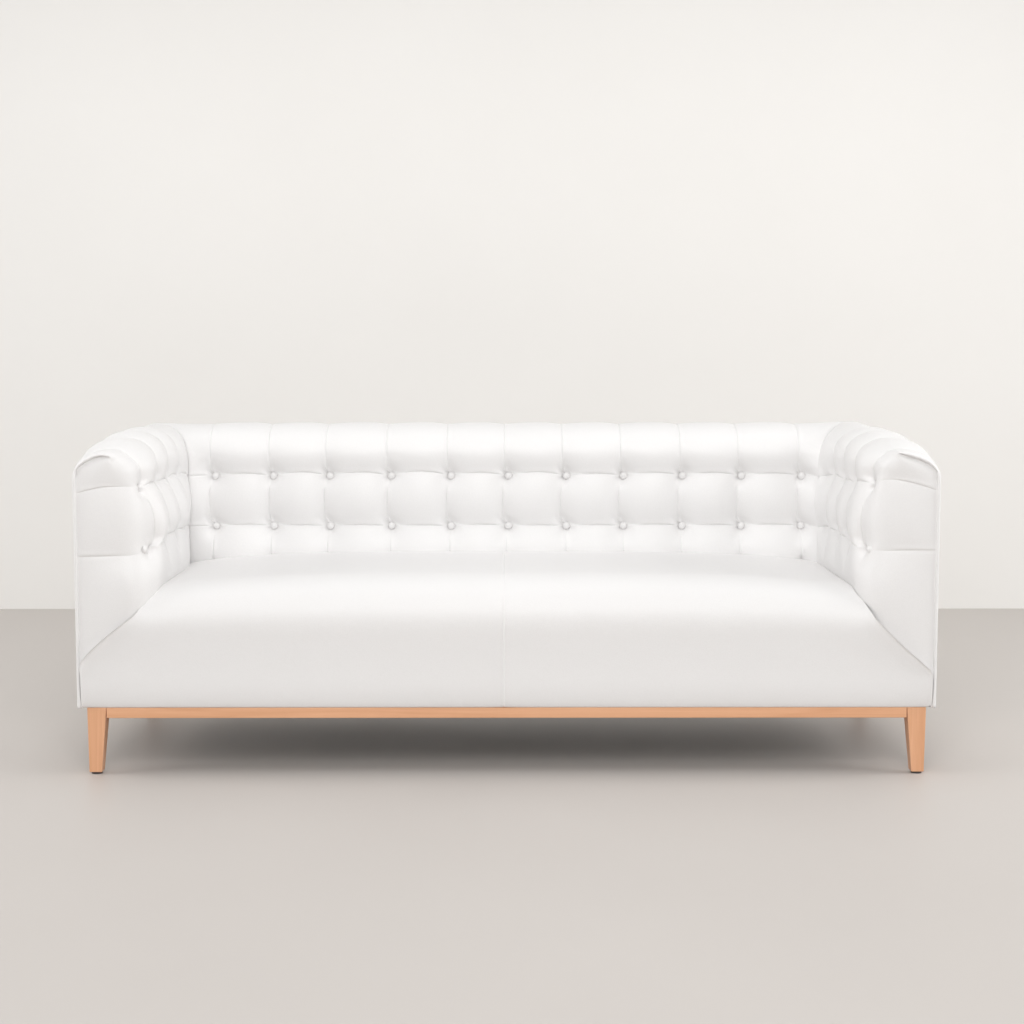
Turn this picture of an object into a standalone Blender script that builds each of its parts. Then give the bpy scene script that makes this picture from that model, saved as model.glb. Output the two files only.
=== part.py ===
"""Tufted leather sofa with arms as high as its back, on a low wooden base with tapered legs.

X runs along the sofa, -Y is its front, Z is up. The origin is on the floor under its middle. Left is -X.
"""

import math

import bmesh
import bpy
from mathutils import Matrix, Vector

# Overall sizes, in metres
WIDTH = 2.100
DEPTH = 0.800
HEIGHT = 0.837
ARM_WIDTH = 0.180
BACK_THICKNESS = 0.215
COVER_BOTTOM = 0.167
CLEARANCE = 0.0003
CUTTER_REACH = 0.100
CUT_WELD = 0.00002

# Wooden base
LEG_TOP = 0.047
LEG_FOOT = 0.031
LEG_OUTER_TAPER = 0.002
LEG_SIDE_INSET = 0.021
LEG_FRONT_INSET = 0.012
LEG_REAR_INSET = 0.060
BASE_RAIL_HEIGHT = 0.026
BASE_RAIL_THICKNESS = 0.025
BASE_EDGE = 0.0012
GLIDE_RADIUS = 0.013
GLIDE_HEIGHT = 0.005
BLOCK_REACH = 0.070
BLOCK_HEIGHT = 0.020

# Hardwood frame inside
SEAT_RAIL_TOP = 0.297
SEAT_RAIL_THICKNESS = 0.030
CENTRE_RAIL_HEIGHT = 0.105
POST_THICKNESS = 0.028
TOP_RAIL_THICKNESS = 0.0447
TACK_RAIL_HEIGHT = 0.060
TACK_RAIL_THICKNESS = 0.020
MIDDLE_POST_X = 0.350
BOARD_EDGE = 0.002
LINER_THICKNESS = 0.003
DUST_COVER_THICKNESS = 0.0012

# Springs and deck
SPRING_COUNT = 8
SPRING_WIRE_RADIUS = 0.0019
SPRING_WAVES = 10
SPRING_HALF_WIDTH = 0.024
SPRING_ARCH = 0.006
SPRING_BEND_SHARE = 0.15
DECK_THICKNESS = 0.005

# Padding and covers
FRONT_PAD_THICKNESS = 0.025
PAD_THICKNESS = 0.065
TOP_PAD_THICKNESS = 0.070
PANEL_TOP_DROP = 0.103
PANEL_THICKNESS = 0.012
WELT_RADIUS = 0.004
OUTER_ROLL = 0.052
INNER_ROLL = 0.055
TOP_CROWN = 0.008
ARM_FRONT_DROP = 0.016
ARM_FRONT_REACH = 0.060
ARM_TOP_SLOPE = 0.034
ARM_SLOPE_LENGTH = 0.400
ARM_FRONT_INNER_ROLL = 0.024
ARM_FRONT_TUFT_SHARE = 0.25

# Tufting
BACK_COLUMNS = 11
BACK_END_COLUMN = 0.060
ARM_COLUMNS = 4
ARM_FIRST_COLUMN = 0.045
ARM_LAST_COLUMN = 0.105
UPPER_ROW_DROP = 0.143
LOWER_ROW_RISE = 0.097
TUFT_DEPTH = 0.030
PLEAT_DEPTH = 0.012
TOP_PLEAT_DEPTH = 0.006
TUFT_SPREAD = 0.030
PLEAT_SPREAD = 0.022
BUTTON_RADIUS = 0.010
BUTTON_RISE = 0.009
BUTTON_ROOT = 0.003
BUTTON_TOP_SHARE = 0.70
BUTTON_TURN = 13

# Seat
SEAT_SIDE_HEIGHT = 0.458
SEAT_CROWN_POWER = 4.2
SEAT_CROWN = 0.030
SEAT_ROLL_DEPTH = 0.120
SEAT_ROLL_HEIGHT = 0.105
SEAT_ROLL_POWER = 2.2
SEAT_REAR_ROLL = 0.016
SEAT_REAR_DIP = 0.006
SEAT_FOOT_SETBACK = 0.011
SEAT_FOOT_HEIGHT = 0.068
DIAGONAL_INNER = 0.435
DIAGONAL_OUTER = 0.269

# Places that follow from the sizes above
FRONT = -DEPTH / 2
REAR = DEPTH / 2
SIDE = WIDTH / 2
ARM_FACE = SIDE - ARM_WIDTH
BACK_FACE = REAR - BACK_THICKNESS
PANEL_INNER_X = SIDE - PANEL_THICKNESS
PANEL_INNER_Y = REAR - PANEL_THICKNESS
PAD_SIDE = PANEL_INNER_X - CLEARANCE
CAVITY_TOP = HEIGHT - TOP_PAD_THICKNESS
CAVITY_ARM_X = ARM_FACE + PAD_THICKNESS
CAVITY_BACK_Y = BACK_FACE + PAD_THICKNESS * BACK_THICKNESS / ARM_WIDTH
CAVITY_FRONT_Y = FRONT + FRONT_PAD_THICKNESS
FRAME_SIDE = PANEL_INNER_X - CLEARANCE
FRAME_FRONT = CAVITY_FRONT_Y + CLEARANCE
FRAME_REAR = PANEL_INNER_Y - CLEARANCE
FRAME_BOTTOM = COVER_BOTTOM + DUST_COVER_THICKNESS + CLEARANCE
TOP_RAIL_TOP = CAVITY_TOP - CLEARANCE
TOP_RAIL_BOTTOM = TOP_RAIL_TOP - TOP_RAIL_THICKNESS
SPRING_END_Z = SEAT_RAIL_TOP + CLEARANCE + SPRING_WIRE_RADIUS
DECK_BOTTOM = SPRING_END_Z + SPRING_ARCH + SPRING_WIRE_RADIUS + CLEARANCE
DECK_TOP = DECK_BOTTOM + DECK_THICKNESS
PAD_BOTTOM = DECK_TOP + CLEARANCE
LEG_TOP_Z = COVER_BOTTOM - CLEARANCE
LEG_X = SIDE - LEG_SIDE_INSET
LEG_FRONT_Y = FRONT + LEG_FRONT_INSET
LEG_REAR_Y = REAR - LEG_REAR_INSET
PANEL_TOP = HEIGHT - PANEL_TOP_DROP
UPPER_ROW = HEIGHT - UPPER_ROW_DROP
LOWER_ROW = SEAT_SIDE_HEIGHT + LOWER_ROW_RISE
BACK_PITCH = 2 * (ARM_FACE - BACK_END_COLUMN) / (BACK_COLUMNS - 1)
ARM_PITCH = (BACK_FACE - FRONT - ARM_FIRST_COLUMN - ARM_LAST_COLUMN) / (ARM_COLUMNS - 1)

for old in list(bpy.data.objects):
    bpy.data.objects.remove(old, do_unlink=True)

sofa = bpy.data.collections.new("sofa")
cutters = bpy.data.collections.new("cutters")
bpy.context.scene.collection.children.link(sofa)
bpy.context.scene.collection.children.link(cutters)


def material(name, colour, roughness, metallic=0.0):
    made = bpy.data.materials.new(name)
    made.use_nodes = True
    shader = made.node_tree.nodes["Principled BSDF"]
    shader.inputs["Base Color"].default_value = (*colour, 1.0)
    shader.inputs["Roughness"].default_value = roughness
    shader.inputs["Metallic"].default_value = metallic
    return made


LEATHER = material("white_leather", (0.86, 0.85, 0.84), 0.42)
BASE_WOOD = material("light_wood", (0.74, 0.42, 0.25), 0.45)
FRAME_WOOD = material("frame_wood", (0.62, 0.47, 0.31), 0.70)
LINER_BOARD = material("liner_board", (0.45, 0.34, 0.22), 0.85)
SPRING_STEEL = material("spring_steel", (0.42, 0.43, 0.45), 0.35, 1.0)
FELT = material("deck_felt", (0.78, 0.77, 0.74), 0.95)
DARK_CLOTH = material("dust_cloth", (0.05, 0.05, 0.05), 0.95)
GLIDE_PLASTIC = material("glide_plastic", (0.06, 0.05, 0.05), 0.50)


def add_object(name, mesh, finish, where=sofa):
    made = bpy.data.objects.new(name, mesh)
    if finish:
        mesh.materials.append(finish)
    where.objects.link(made)
    return made


def finish_mesh(bm, name):
    """Turns the faces outwards and gives the mesh."""
    bmesh.ops.recalc_face_normals(bm, faces=bm.faces)
    if bm.calc_volume(signed=True) < 0:
        bmesh.ops.reverse_faces(bm, faces=bm.faces)
    mesh = bpy.data.meshes.new(name)
    bm.to_mesh(mesh)
    bm.free()
    return mesh


def box_mesh(bm, low, high):
    size = [b - a for a, b in zip(low, high)]
    middle = [(a + b) / 2 for a, b in zip(low, high)]
    place = Matrix.Translation(middle) @ Matrix.Diagonal((*size, 1.0))
    return bmesh.ops.create_cube(bm, size=1.0, matrix=place)["verts"]


def board(name, low, high, finish, edge=BOARD_EDGE):
    """A plank between two corners, its edges eased."""
    bm = bmesh.new()
    box_mesh(bm, low, high)
    made = add_object(name, finish_mesh(bm, name), finish)
    if edge:
        bevel = made.modifiers.new("eased edges", "BEVEL")
        bevel.width = edge
        bevel.segments = 1
    return made


def cutter_box(name, low, high, turn=None):
    bm = bmesh.new()
    box_mesh(bm, low, high)
    made = add_object(name, finish_mesh(bm, name), None, cutters)
    if turn:
        made.matrix_world = turn
    made.hide_render = True
    made.display_type = "WIRE"
    return made


def cut(target, cutter, operation="DIFFERENCE"):
    boolean = target.modifiers.new(cutter.name, "BOOLEAN")
    boolean.object = cutter
    boolean.operation = operation
    boolean.solver = "EXACT"
    weld = target.modifiers.new("weld", "WELD")
    weld.merge_threshold = CUT_WELD


def smooth(made, degrees=50):
    made.data.shade_smooth()
    made.data.set_sharp_from_angle(angle=math.radians(degrees))


# Base: legs, glides, rails and corner blocks
def leg(name, side, along):
    """A square leg whose inner faces taper strongly and whose outer faces taper a little."""
    outer_y = LEG_FRONT_Y if along < 0 else LEG_REAR_Y
    low = (min(side * LEG_X, side * (LEG_X - LEG_TOP)), min(outer_y, outer_y - along * LEG_TOP))
    bottom = GLIDE_HEIGHT + CLEARANCE
    bm = bmesh.new()
    box_mesh(bm, (*low, bottom), (low[0] + LEG_TOP, low[1] + LEG_TOP, LEG_TOP_Z))
    for vert in bm.verts:
        if vert.co.z > bottom + CLEARANCE:
            continue
        outside_x = abs(vert.co.x) > LEG_X - LEG_TOP / 2
        outside_y = abs(vert.co.y - outer_y) < LEG_TOP / 2
        inner_taper = LEG_TOP - LEG_FOOT - LEG_OUTER_TAPER
        vert.co.x += side * (-LEG_OUTER_TAPER if outside_x else inner_taper)
        vert.co.y += along * (-LEG_OUTER_TAPER if outside_y else inner_taper)
    made = add_object(name, finish_mesh(bm, name), BASE_WOOD)
    bevel = made.modifiers.new("eased edges", "BEVEL")
    bevel.width = BASE_EDGE
    bevel.segments = 1
    middle_x = side * (LEG_X - LEG_OUTER_TAPER - LEG_FOOT / 2)
    middle_y = outer_y - along * (LEG_OUTER_TAPER + LEG_FOOT / 2)
    return middle_x, middle_y


def glide(name, x, y):
    bm = bmesh.new()
    bmesh.ops.create_cone(
        bm, cap_ends=True, segments=20, radius1=GLIDE_RADIUS, radius2=GLIDE_RADIUS, depth=GLIDE_HEIGHT
    )
    made = add_object(name, finish_mesh(bm, name), GLIDE_PLASTIC)
    made.location = (x, y, GLIDE_HEIGHT / 2)
    smooth(made)


def corner_block(name, side, along):
    """A flat block glued into the corner of two base rails, cut round the leg."""
    outer_y = LEG_FRONT_Y if along < 0 else LEG_REAR_Y
    rail_inner = BASE_RAIL_THICKNESS + CLEARANCE
    leg_inner = LEG_TOP + CLEARANCE
    reach = rail_inner + BLOCK_REACH + CLEARANCE
    steps = [
        (leg_inner, rail_inner),
        (reach, rail_inner),
        (rail_inner, reach),
        (rail_inner, leg_inner),
        (leg_inner, leg_inner),
    ]
    curve = bpy.data.curves.new(name, "CURVE")
    curve.dimensions = "2D"
    curve.fill_mode = "BOTH"
    curve.extrude = BLOCK_HEIGHT / 2
    spline = curve.splines.new("POLY")
    spline.points.add(len(steps) - 1)
    for point, (across, deep) in zip(spline.points, steps):
        point.co = (side * (LEG_X - across), outer_y - along * deep, 0.0, 1.0)
    spline.use_cyclic_u = True
    made = add_object(name, curve, FRAME_WOOD)
    made.location.z = LEG_TOP_Z - BLOCK_HEIGHT / 2 - CLEARANCE


for end, along in (("front", -1), ("rear", 1)):
    for hand, side in (("left", -1), ("right", 1)):
        foot_x, foot_y = leg(f"{end}_{hand}_leg", side, along)
        glide(f"{end}_{hand}_glide", foot_x, foot_y)
        corner_block(f"{end}_{hand}_corner_block", side, along)

rail_end_x = LEG_X - LEG_TOP - CLEARANCE
base_low_z = LEG_TOP_Z - BASE_RAIL_HEIGHT
board(
    "front_base_rail",
    (-rail_end_x, LEG_FRONT_Y, base_low_z),
    (rail_end_x, LEG_FRONT_Y + BASE_RAIL_THICKNESS, LEG_TOP_Z),
    BASE_WOOD,
    BASE_EDGE,
)
board(
    "rear_base_rail",
    (-rail_end_x, LEG_REAR_Y - BASE_RAIL_THICKNESS, base_low_z),
    (rail_end_x, LEG_REAR_Y, LEG_TOP_Z),
    BASE_WOOD,
    BASE_EDGE,
)
for hand, side in (("left", -1), ("right", 1)):
    inner_x, outer_x = sorted((side * (LEG_X - BASE_RAIL_THICKNESS), side * LEG_X))
    board(
        f"{hand}_base_rail",
        (inner_x, LEG_FRONT_Y + LEG_TOP + CLEARANCE, base_low_z),
        (outer_x, LEG_REAR_Y - LEG_TOP - CLEARANCE, LEG_TOP_Z),
        BASE_WOOD,
        BASE_EDGE,
    )

# Seat frame: five rails, with the dust cover stapled under them
rear_seat_rail_y = CAVITY_BACK_Y + CLEARANCE
board(
    "front_seat_rail",
    (-FRAME_SIDE, FRAME_FRONT, FRAME_BOTTOM),
    (FRAME_SIDE, FRAME_FRONT + SEAT_RAIL_THICKNESS, SEAT_RAIL_TOP),
    FRAME_WOOD,
)
board(
    "rear_frame_rail",
    (-FRAME_SIDE, FRAME_REAR - SEAT_RAIL_THICKNESS, FRAME_BOTTOM),
    (FRAME_SIDE, FRAME_REAR, SEAT_RAIL_TOP),
    FRAME_WOOD,
)
side_rail_inner = FRAME_SIDE - SEAT_RAIL_THICKNESS
for hand, side in (("left", -1), ("right", 1)):
    inner_x, outer_x = sorted((side * side_rail_inner, side * FRAME_SIDE))
    board(
        f"{hand}_seat_rail",
        (inner_x, FRAME_FRONT + SEAT_RAIL_THICKNESS + CLEARANCE, FRAME_BOTTOM),
        (outer_x, FRAME_REAR - SEAT_RAIL_THICKNESS - CLEARANCE, SEAT_RAIL_TOP),
        FRAME_WOOD,
    )
board(
    "rear_seat_rail",
    (CLEARANCE - side_rail_inner, rear_seat_rail_y, FRAME_BOTTOM),
    (side_rail_inner - CLEARANCE, rear_seat_rail_y + SEAT_RAIL_THICKNESS, SEAT_RAIL_TOP),
    FRAME_WOOD,
)
board(
    "centre_seat_rail",
    (-SEAT_RAIL_THICKNESS / 2, FRAME_FRONT + SEAT_RAIL_THICKNESS + CLEARANCE, FRAME_BOTTOM),
    (SEAT_RAIL_THICKNESS / 2, rear_seat_rail_y - CLEARANCE, FRAME_BOTTOM + CENTRE_RAIL_HEIGHT),
    FRAME_WOOD,
)
board(
    "dust_cover",
    (-FRAME_SIDE, FRAME_FRONT, COVER_BOTTOM),
    (FRAME_SIDE, FRAME_REAR, COVER_BOTTOM + DUST_COVER_THICKNESS),
    DARK_CLOTH,
    0.0,
)

# Back frame: posts, top rail, tacking rail and liner board
post_bottom = SEAT_RAIL_TOP + CLEARANCE
post_top = TOP_RAIL_BOTTOM - CLEARANCE
liner_rear = CAVITY_BACK_Y + CLEARANCE + LINER_THICKNESS
tack_front = liner_rear + CLEARANCE
post_front = tack_front + TACK_RAIL_THICKNESS + CLEARANCE
end_post_x = FRAME_SIDE - POST_THICKNESS / 2
for name, x in (
    ("left_end_post", -end_post_x),
    ("left_middle_post", -MIDDLE_POST_X),
    ("right_middle_post", MIDDLE_POST_X),
    ("right_end_post", end_post_x),
):
    board(
        f"back_{name}",
        (x - POST_THICKNESS / 2, post_front, post_bottom),
        (x + POST_THICKNESS / 2, FRAME_REAR, post_top),
        FRAME_WOOD,
    )
board(
    "back_top_rail",
    (-FRAME_SIDE, tack_front, TOP_RAIL_BOTTOM),
    (FRAME_SIDE, FRAME_REAR, TOP_RAIL_TOP),
    FRAME_WOOD,
)
board(
    "back_tacking_rail",
    (-FRAME_SIDE, tack_front, PAD_BOTTOM),
    (FRAME_SIDE, tack_front + TACK_RAIL_THICKNESS, PAD_BOTTOM + TACK_RAIL_HEIGHT),
    FRAME_WOOD,
)
liner_half_width = CAVITY_ARM_X - CLEARANCE
board(
    "back_liner",
    (-liner_half_width, CAVITY_BACK_Y + CLEARANCE, PAD_BOTTOM),
    (liner_half_width, liner_rear, TOP_RAIL_TOP),
    LINER_BOARD,
    0.0,
)

# Arm frames: front post, top rail, tacking rail and liner board on each side
arm_frame_inner = CAVITY_ARM_X + CLEARANCE
front_post_rear = FRAME_FRONT + POST_THICKNESS
arm_liner_outer = arm_frame_inner + LINER_THICKNESS
for hand, side in (("left", -1), ("right", 1)):

    def arm_board(name, near_x, far_x, y_range, z_range, finish=FRAME_WOOD, edge=BOARD_EDGE):
        low_x, high_x = sorted((side * near_x, side * far_x))
        board(
            f"{hand}_arm_{name}",
            (low_x, y_range[0], z_range[0]),
            (high_x, y_range[1], z_range[1]),
            finish,
            edge,
        )

    arm_board(
        "front_post", arm_frame_inner, FRAME_SIDE, (FRAME_FRONT, front_post_rear), (post_bottom, post_top)
    )
    arm_board(
        "top_rail",
        arm_frame_inner,
        FRAME_SIDE,
        (FRAME_FRONT, tack_front - CLEARANCE),
        (TOP_RAIL_BOTTOM, TOP_RAIL_TOP),
    )
    arm_board(
        "tacking_rail",
        arm_liner_outer + CLEARANCE,
        arm_liner_outer + CLEARANCE + TACK_RAIL_THICKNESS,
        (front_post_rear + CLEARANCE, tack_front - CLEARANCE),
        (PAD_BOTTOM, PAD_BOTTOM + TACK_RAIL_HEIGHT),
    )
    arm_board(
        "liner",
        arm_frame_inner,
        arm_liner_outer,
        (front_post_rear + CLEARANCE, tack_front - CLEARANCE),
        (PAD_BOTTOM, post_top),
        LINER_BOARD,
        0.0,
    )


# Seat springs: a flat zigzag of wire, arched a little, hooked from the front rail to the rear one
def spring(name, x):
    start = FRAME_FRONT + SEAT_RAIL_THICKNESS / 2
    length = rear_seat_rail_y + SEAT_RAIL_THICKNESS / 2 - start
    wave = length / (SPRING_WAVES + 1)
    shares = [(0.0, 0.0), (0.5, 0.0)]
    for turn in range(2 * SPRING_WAVES):
        swing = 1 if turn % 2 == 0 else -1
        shares.append((0.5 + (turn + SPRING_BEND_SHARE) / 2, swing))
        shares.append((0.5 + (turn + 1 - SPRING_BEND_SHARE) / 2, swing))
    shares += [(SPRING_WAVES + 0.5, 0.0), (SPRING_WAVES + 1, 0.0)]
    curve = bpy.data.curves.new(name, "CURVE")
    curve.dimensions = "3D"
    curve.bevel_depth = SPRING_WIRE_RADIUS
    curve.bevel_resolution = 0
    curve.use_fill_caps = True
    spline = curve.splines.new("POLY")
    spline.points.add(len(shares) - 1)
    for point, (share, swing) in zip(spline.points, shares):
        rise = SPRING_ARCH * math.sin(math.pi * share / (SPRING_WAVES + 1))
        point.co = (x + swing * SPRING_HALF_WIDTH, start + share * wave, SPRING_END_Z + rise, 1.0)
    add_object(name, curve, SPRING_STEEL)


spring_pitch = 2 * ARM_FACE / SPRING_COUNT
for number in range(SPRING_COUNT):
    spring(f"seat_spring_{number + 1}", -ARM_FACE + (number + 0.5) * spring_pitch)

board(
    "seat_deck",
    (-liner_half_width, CAVITY_FRONT_Y + CLEARANCE, DECK_BOTTOM),
    (liner_half_width, CAVITY_BACK_Y, DECK_TOP),
    FELT,
    0.0,
)


# Padding: shared helpers
def loft(rings):
    """A closed body through equal rings, with a flat cap at each end."""
    bm = bmesh.new()
    made = [[bm.verts.new(point) for point in ring] for ring in rings]
    count = len(rings[0])
    for ring, following in zip(made, made[1:]):
        for i in range(count):
            j = (i + 1) % count
            bm.faces.new((ring[i], ring[j], following[j], following[i]))
    bm.faces.new(made[0])
    bm.faces.new(made[-1])
    return bm


def bisect(bm, point, outwards):
    """Cuts off what lies on the outer side of a plane, and closes the cut."""
    everything = bm.verts[:] + bm.edges[:] + bm.faces[:]
    result = bmesh.ops.bisect_plane(
        bm, geom=everything, dist=1e-6, plane_co=point, plane_no=outwards, clear_outer=True
    )
    edges = [item for item in result["geom_cut"] if isinstance(item, bmesh.types.BMEdge)]
    bmesh.ops.holes_fill(bm, edges=edges, sides=0)


def dip(along, height, columns, rows, on_top):
    """How far the tufting draws the skin in at a place: at a seam, and most at a button."""
    across = min(abs(along - column) for column in columns)
    up = min(abs(height - row) for row in rows)
    upright = math.exp(-((across / PLEAT_SPREAD) ** 2))
    level = math.exp(-((up / PLEAT_SPREAD) ** 2))
    button = math.exp(-(across**2 + up**2) / TUFT_SPREAD**2)
    pleat = max(PLEAT_DEPTH * upright, PLEAT_DEPTH * level)
    if on_top:
        return TOP_PLEAT_DEPTH * upright
    return pleat + (TUFT_DEPTH - PLEAT_DEPTH) * button


def skin_stations(thickness):
    """Points up the seat side of a pad and over its top: (distance in, height, inward normal, on top)."""
    points = [(0.0, PAD_BOTTOM, (1.0, 0.0), False), (0.0, SEAT_SIDE_HEIGHT, (1.0, 0.0), False)]
    span = UPPER_ROW - LOWER_ROW
    near = PLEAT_SPREAD
    faces = [LOWER_ROW - near, LOWER_ROW, LOWER_ROW + near, LOWER_ROW + span / 2]
    faces += [UPPER_ROW - near, UPPER_ROW, UPPER_ROW + near, HEIGHT - TOP_CROWN - INNER_ROLL]
    points += [(0.0, z, (1.0, 0.0), False) for z in faces]
    wider = thickness / ARM_WIDTH
    for degrees in (45, 90):
        turn = math.radians(degrees)
        points.append(
            (
                INNER_ROLL * wider * (1 - math.cos(turn)),
                HEIGHT - TOP_CROWN - INNER_ROLL * (1 - math.sin(turn)),
                (math.cos(turn), -math.sin(turn)),
                True,
            )
        )
    points.append((thickness / 2, HEIGHT, (0.0, -1.0), True))
    for degrees in (90, 50, 20, 0):
        turn = math.radians(degrees)
        normal = (-math.cos(turn), -math.sin(turn)) if degrees else (0.0, 0.0)
        deep = thickness - OUTER_ROLL * wider * (1 - math.cos(turn))
        points.append((deep, HEIGHT - TOP_CROWN - OUTER_ROLL * (1 - math.sin(turn)), normal, True))
    return points


def spread(columns, start, end, near=PLEAT_SPREAD):
    """Places along a pad: each seam, one either side of it, and the middle of each cell."""
    places = {round(start, 5), round(end, 5)}
    for column in columns:
        for step in (-near, 0.0, near):
            if start < column + step < end:
                places.add(round(column + step, 5))
    for left, right in zip(columns, columns[1:]):
        places.add(round((left + right) / 2, 5))
    return sorted(places)


def buttons(name, places, normal):
    """One cutter mesh with every button of a pad, to be fused with it."""
    bm = bmesh.new()
    turn = Vector((0.0, 0.0, 1.0)).rotation_difference(Vector(normal)).to_matrix().to_4x4()
    turn = turn @ Matrix.Rotation(math.radians(BUTTON_TURN), 4, "Z")
    sunk = TUFT_DEPTH - (BUTTON_RISE - BUTTON_ROOT) / 2
    for place in places:
        middle = Vector(place) - Vector(normal) * sunk
        bmesh.ops.create_cone(
            bm,
            cap_ends=True,
            segments=8,
            radius1=BUTTON_RADIUS,
            radius2=BUTTON_RADIUS * BUTTON_TOP_SHARE,
            depth=BUTTON_RISE + BUTTON_ROOT,
            matrix=Matrix.Translation(middle) @ turn,
        )
    made = add_object(name, finish_mesh(bm, name), None, cutters)
    made.hide_render = True
    made.display_type = "WIRE"
    return made


# Back pad: one tufted piece over the front and top of the back frame, mitred to the arms
back_columns = [(i - (BACK_COLUMNS - 1) / 2) * BACK_PITCH for i in range(BACK_COLUMNS)]
rows = [LOWER_ROW, UPPER_ROW]
back_skin = skin_stations(BACK_THICKNESS)


def back_ring(x):
    """The section of the back at one place."""
    ring = []
    for deep, height, normal, on_top in back_skin:
        tufted = abs(x) < ARM_FACE and height > SEAT_SIDE_HEIGHT
        fall = dip(x, height, back_columns, rows, on_top) if tufted else 0.0
        ring.append((x, BACK_FACE + deep + normal[0] * fall, height + normal[1] * fall))
    ring.append((x, REAR, PAD_BOTTOM))
    return ring


back_places = spread(back_columns, -SIDE, SIDE)
back_places = sorted(set(back_places) | {ARM_FACE * side for side in (-1, 1)})
back_mesh = loft([back_ring(x) for x in back_places])
half_gap = CLEARANCE / 2
for side in (-1, 1):
    outwards = Vector((side * BACK_THICKNESS, -ARM_WIDTH, 0.0)).normalized()
    bisect(back_mesh, Vector((side * ARM_FACE, BACK_FACE, 0.0)) - outwards * half_gap, outwards)
back_pad = add_object("back_pad", finish_mesh(back_mesh, "back_pad"), LEATHER)
back_buttons = [(x, BACK_FACE, z) for z in rows for x in back_columns]
cut(back_pad, buttons("back_buttons", back_buttons, (0.0, -1.0, 0.0)), "UNION")
cut(
    back_pad,
    cutter_box(
        "back_cavity",
        (-FRAME_SIDE - CLEARANCE, CAVITY_BACK_Y, PAD_BOTTOM - CUTTER_REACH),
        (FRAME_SIDE + CLEARANCE, PANEL_INNER_Y, CAVITY_TOP),
    ),
)
cut(
    back_pad,
    cutter_box(
        "back_opening",
        (-SIDE - CUTTER_REACH, CAVITY_BACK_Y + POST_THICKNESS, PAD_BOTTOM - CUTTER_REACH),
        (SIDE + CUTTER_REACH, REAR + CUTTER_REACH, PANEL_TOP),
    ),
)
smooth(back_pad)

# Arm pads: tufted inside, rolled over the top and round the front, cut to the seat's diagonal seam
arm_columns = [FRONT + ARM_FIRST_COLUMN + i * ARM_PITCH for i in range(ARM_COLUMNS)]
arm_skin = skin_stations(ARM_WIDTH)
diagonal_run = PAD_SIDE - ARM_FACE
diagonal_angle = math.atan2(DIAGONAL_INNER - DIAGONAL_OUTER, diagonal_run)
diagonal_length = math.hypot(DIAGONAL_INNER - DIAGONAL_OUTER, diagonal_run)


def arm_ring(y):
    """The section of the left arm at one place; near the front it draws in, for the soft front edge."""
    share = min(1.0, (y - FRONT) / ARM_FRONT_REACH)
    curve = 1.0 - math.sqrt(max(0.0, 1.0 - (1.0 - share) ** 2))
    drop = curve * ARM_FRONT_DROP + ARM_TOP_SLOPE * max(0.0, 1.0 - (y - FRONT) / ARM_SLOPE_LENGTH) ** 2
    ring = []
    for deep, height, normal, on_top in arm_skin:
        fall = dip(y, height, arm_columns, rows, on_top) if height > SEAT_SIDE_HEIGHT else 0.0
        fall *= min(1.0, ARM_FRONT_TUFT_SHARE + share)
        inwards = deep + normal[0] * fall
        inwards += curve * ARM_FRONT_INNER_ROLL * max(0.0, 1.0 - deep / (ARM_WIDTH / 2))
        z = height + normal[1] * fall
        foot = UPPER_ROW if deep < ARM_WIDTH / 2 else PANEL_TOP
        z -= drop * min(1.0, max(0.0, (z - foot) / (HEIGHT - foot)))
        ring.append((-ARM_FACE - inwards, y, z))
    ring[0] = (ring[0][0], y, COVER_BOTTOM)
    ring.append((-SIDE, y, PANEL_TOP))
    ring.append((-PAD_SIDE, y, PANEL_TOP))
    ring.append((-PAD_SIDE, y, COVER_BOTTOM))
    return ring


front_turns = [0, 30, 60, 90]
front_steps = [FRONT + ARM_FRONT_REACH * (1 - math.cos(math.radians(turn))) for turn in front_turns]
arm_places = spread(arm_columns, FRONT, REAR)
arm_places = [y for y in arm_places if y > FRONT + ARM_FRONT_REACH or y in arm_columns]
arm_places = sorted(set(arm_places) | set(front_steps))
arm_mesh = loft([arm_ring(y) for y in arm_places])
outwards = Vector((BACK_THICKNESS, ARM_WIDTH, 0.0)).normalized()
bisect(arm_mesh, Vector((-ARM_FACE, BACK_FACE, 0.0)) - outwards * half_gap, outwards)
arm_pad = add_object("left_arm_pad", finish_mesh(arm_mesh, "left_arm_pad"), LEATHER)
arm_buttons = [(-ARM_FACE, y, z) for z in rows for y in arm_columns[1:]]
cut(arm_pad, buttons("arm_buttons", arm_buttons, (1.0, 0.0, 0.0)), "UNION")
arm_under = COVER_BOTTOM - CUTTER_REACH
cut(
    arm_pad,
    cutter_box(
        "arm_cavity",
        (-FRAME_SIDE - CLEARANCE, CAVITY_FRONT_Y, arm_under),
        (-CAVITY_ARM_X, REAR + CUTTER_REACH, CAVITY_TOP),
    ),
)
cut(
    arm_pad,
    cutter_box(
        "arm_opening",
        (-SIDE - CUTTER_REACH, CAVITY_FRONT_Y, arm_under),
        (-CAVITY_ARM_X - POST_THICKNESS, REAR + CUTTER_REACH, PANEL_TOP),
    ),
)
cut(
    arm_pad,
    cutter_box(
        "arm_foot",
        (-SIDE - CUTTER_REACH, CAVITY_FRONT_Y, arm_under),
        (CUTTER_REACH - ARM_FACE, REAR + CUTTER_REACH, PAD_BOTTOM),
    ),
)
diagonal_place = Matrix.Translation((-ARM_FACE, 0.0, DIAGONAL_INNER + CLEARANCE))
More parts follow.
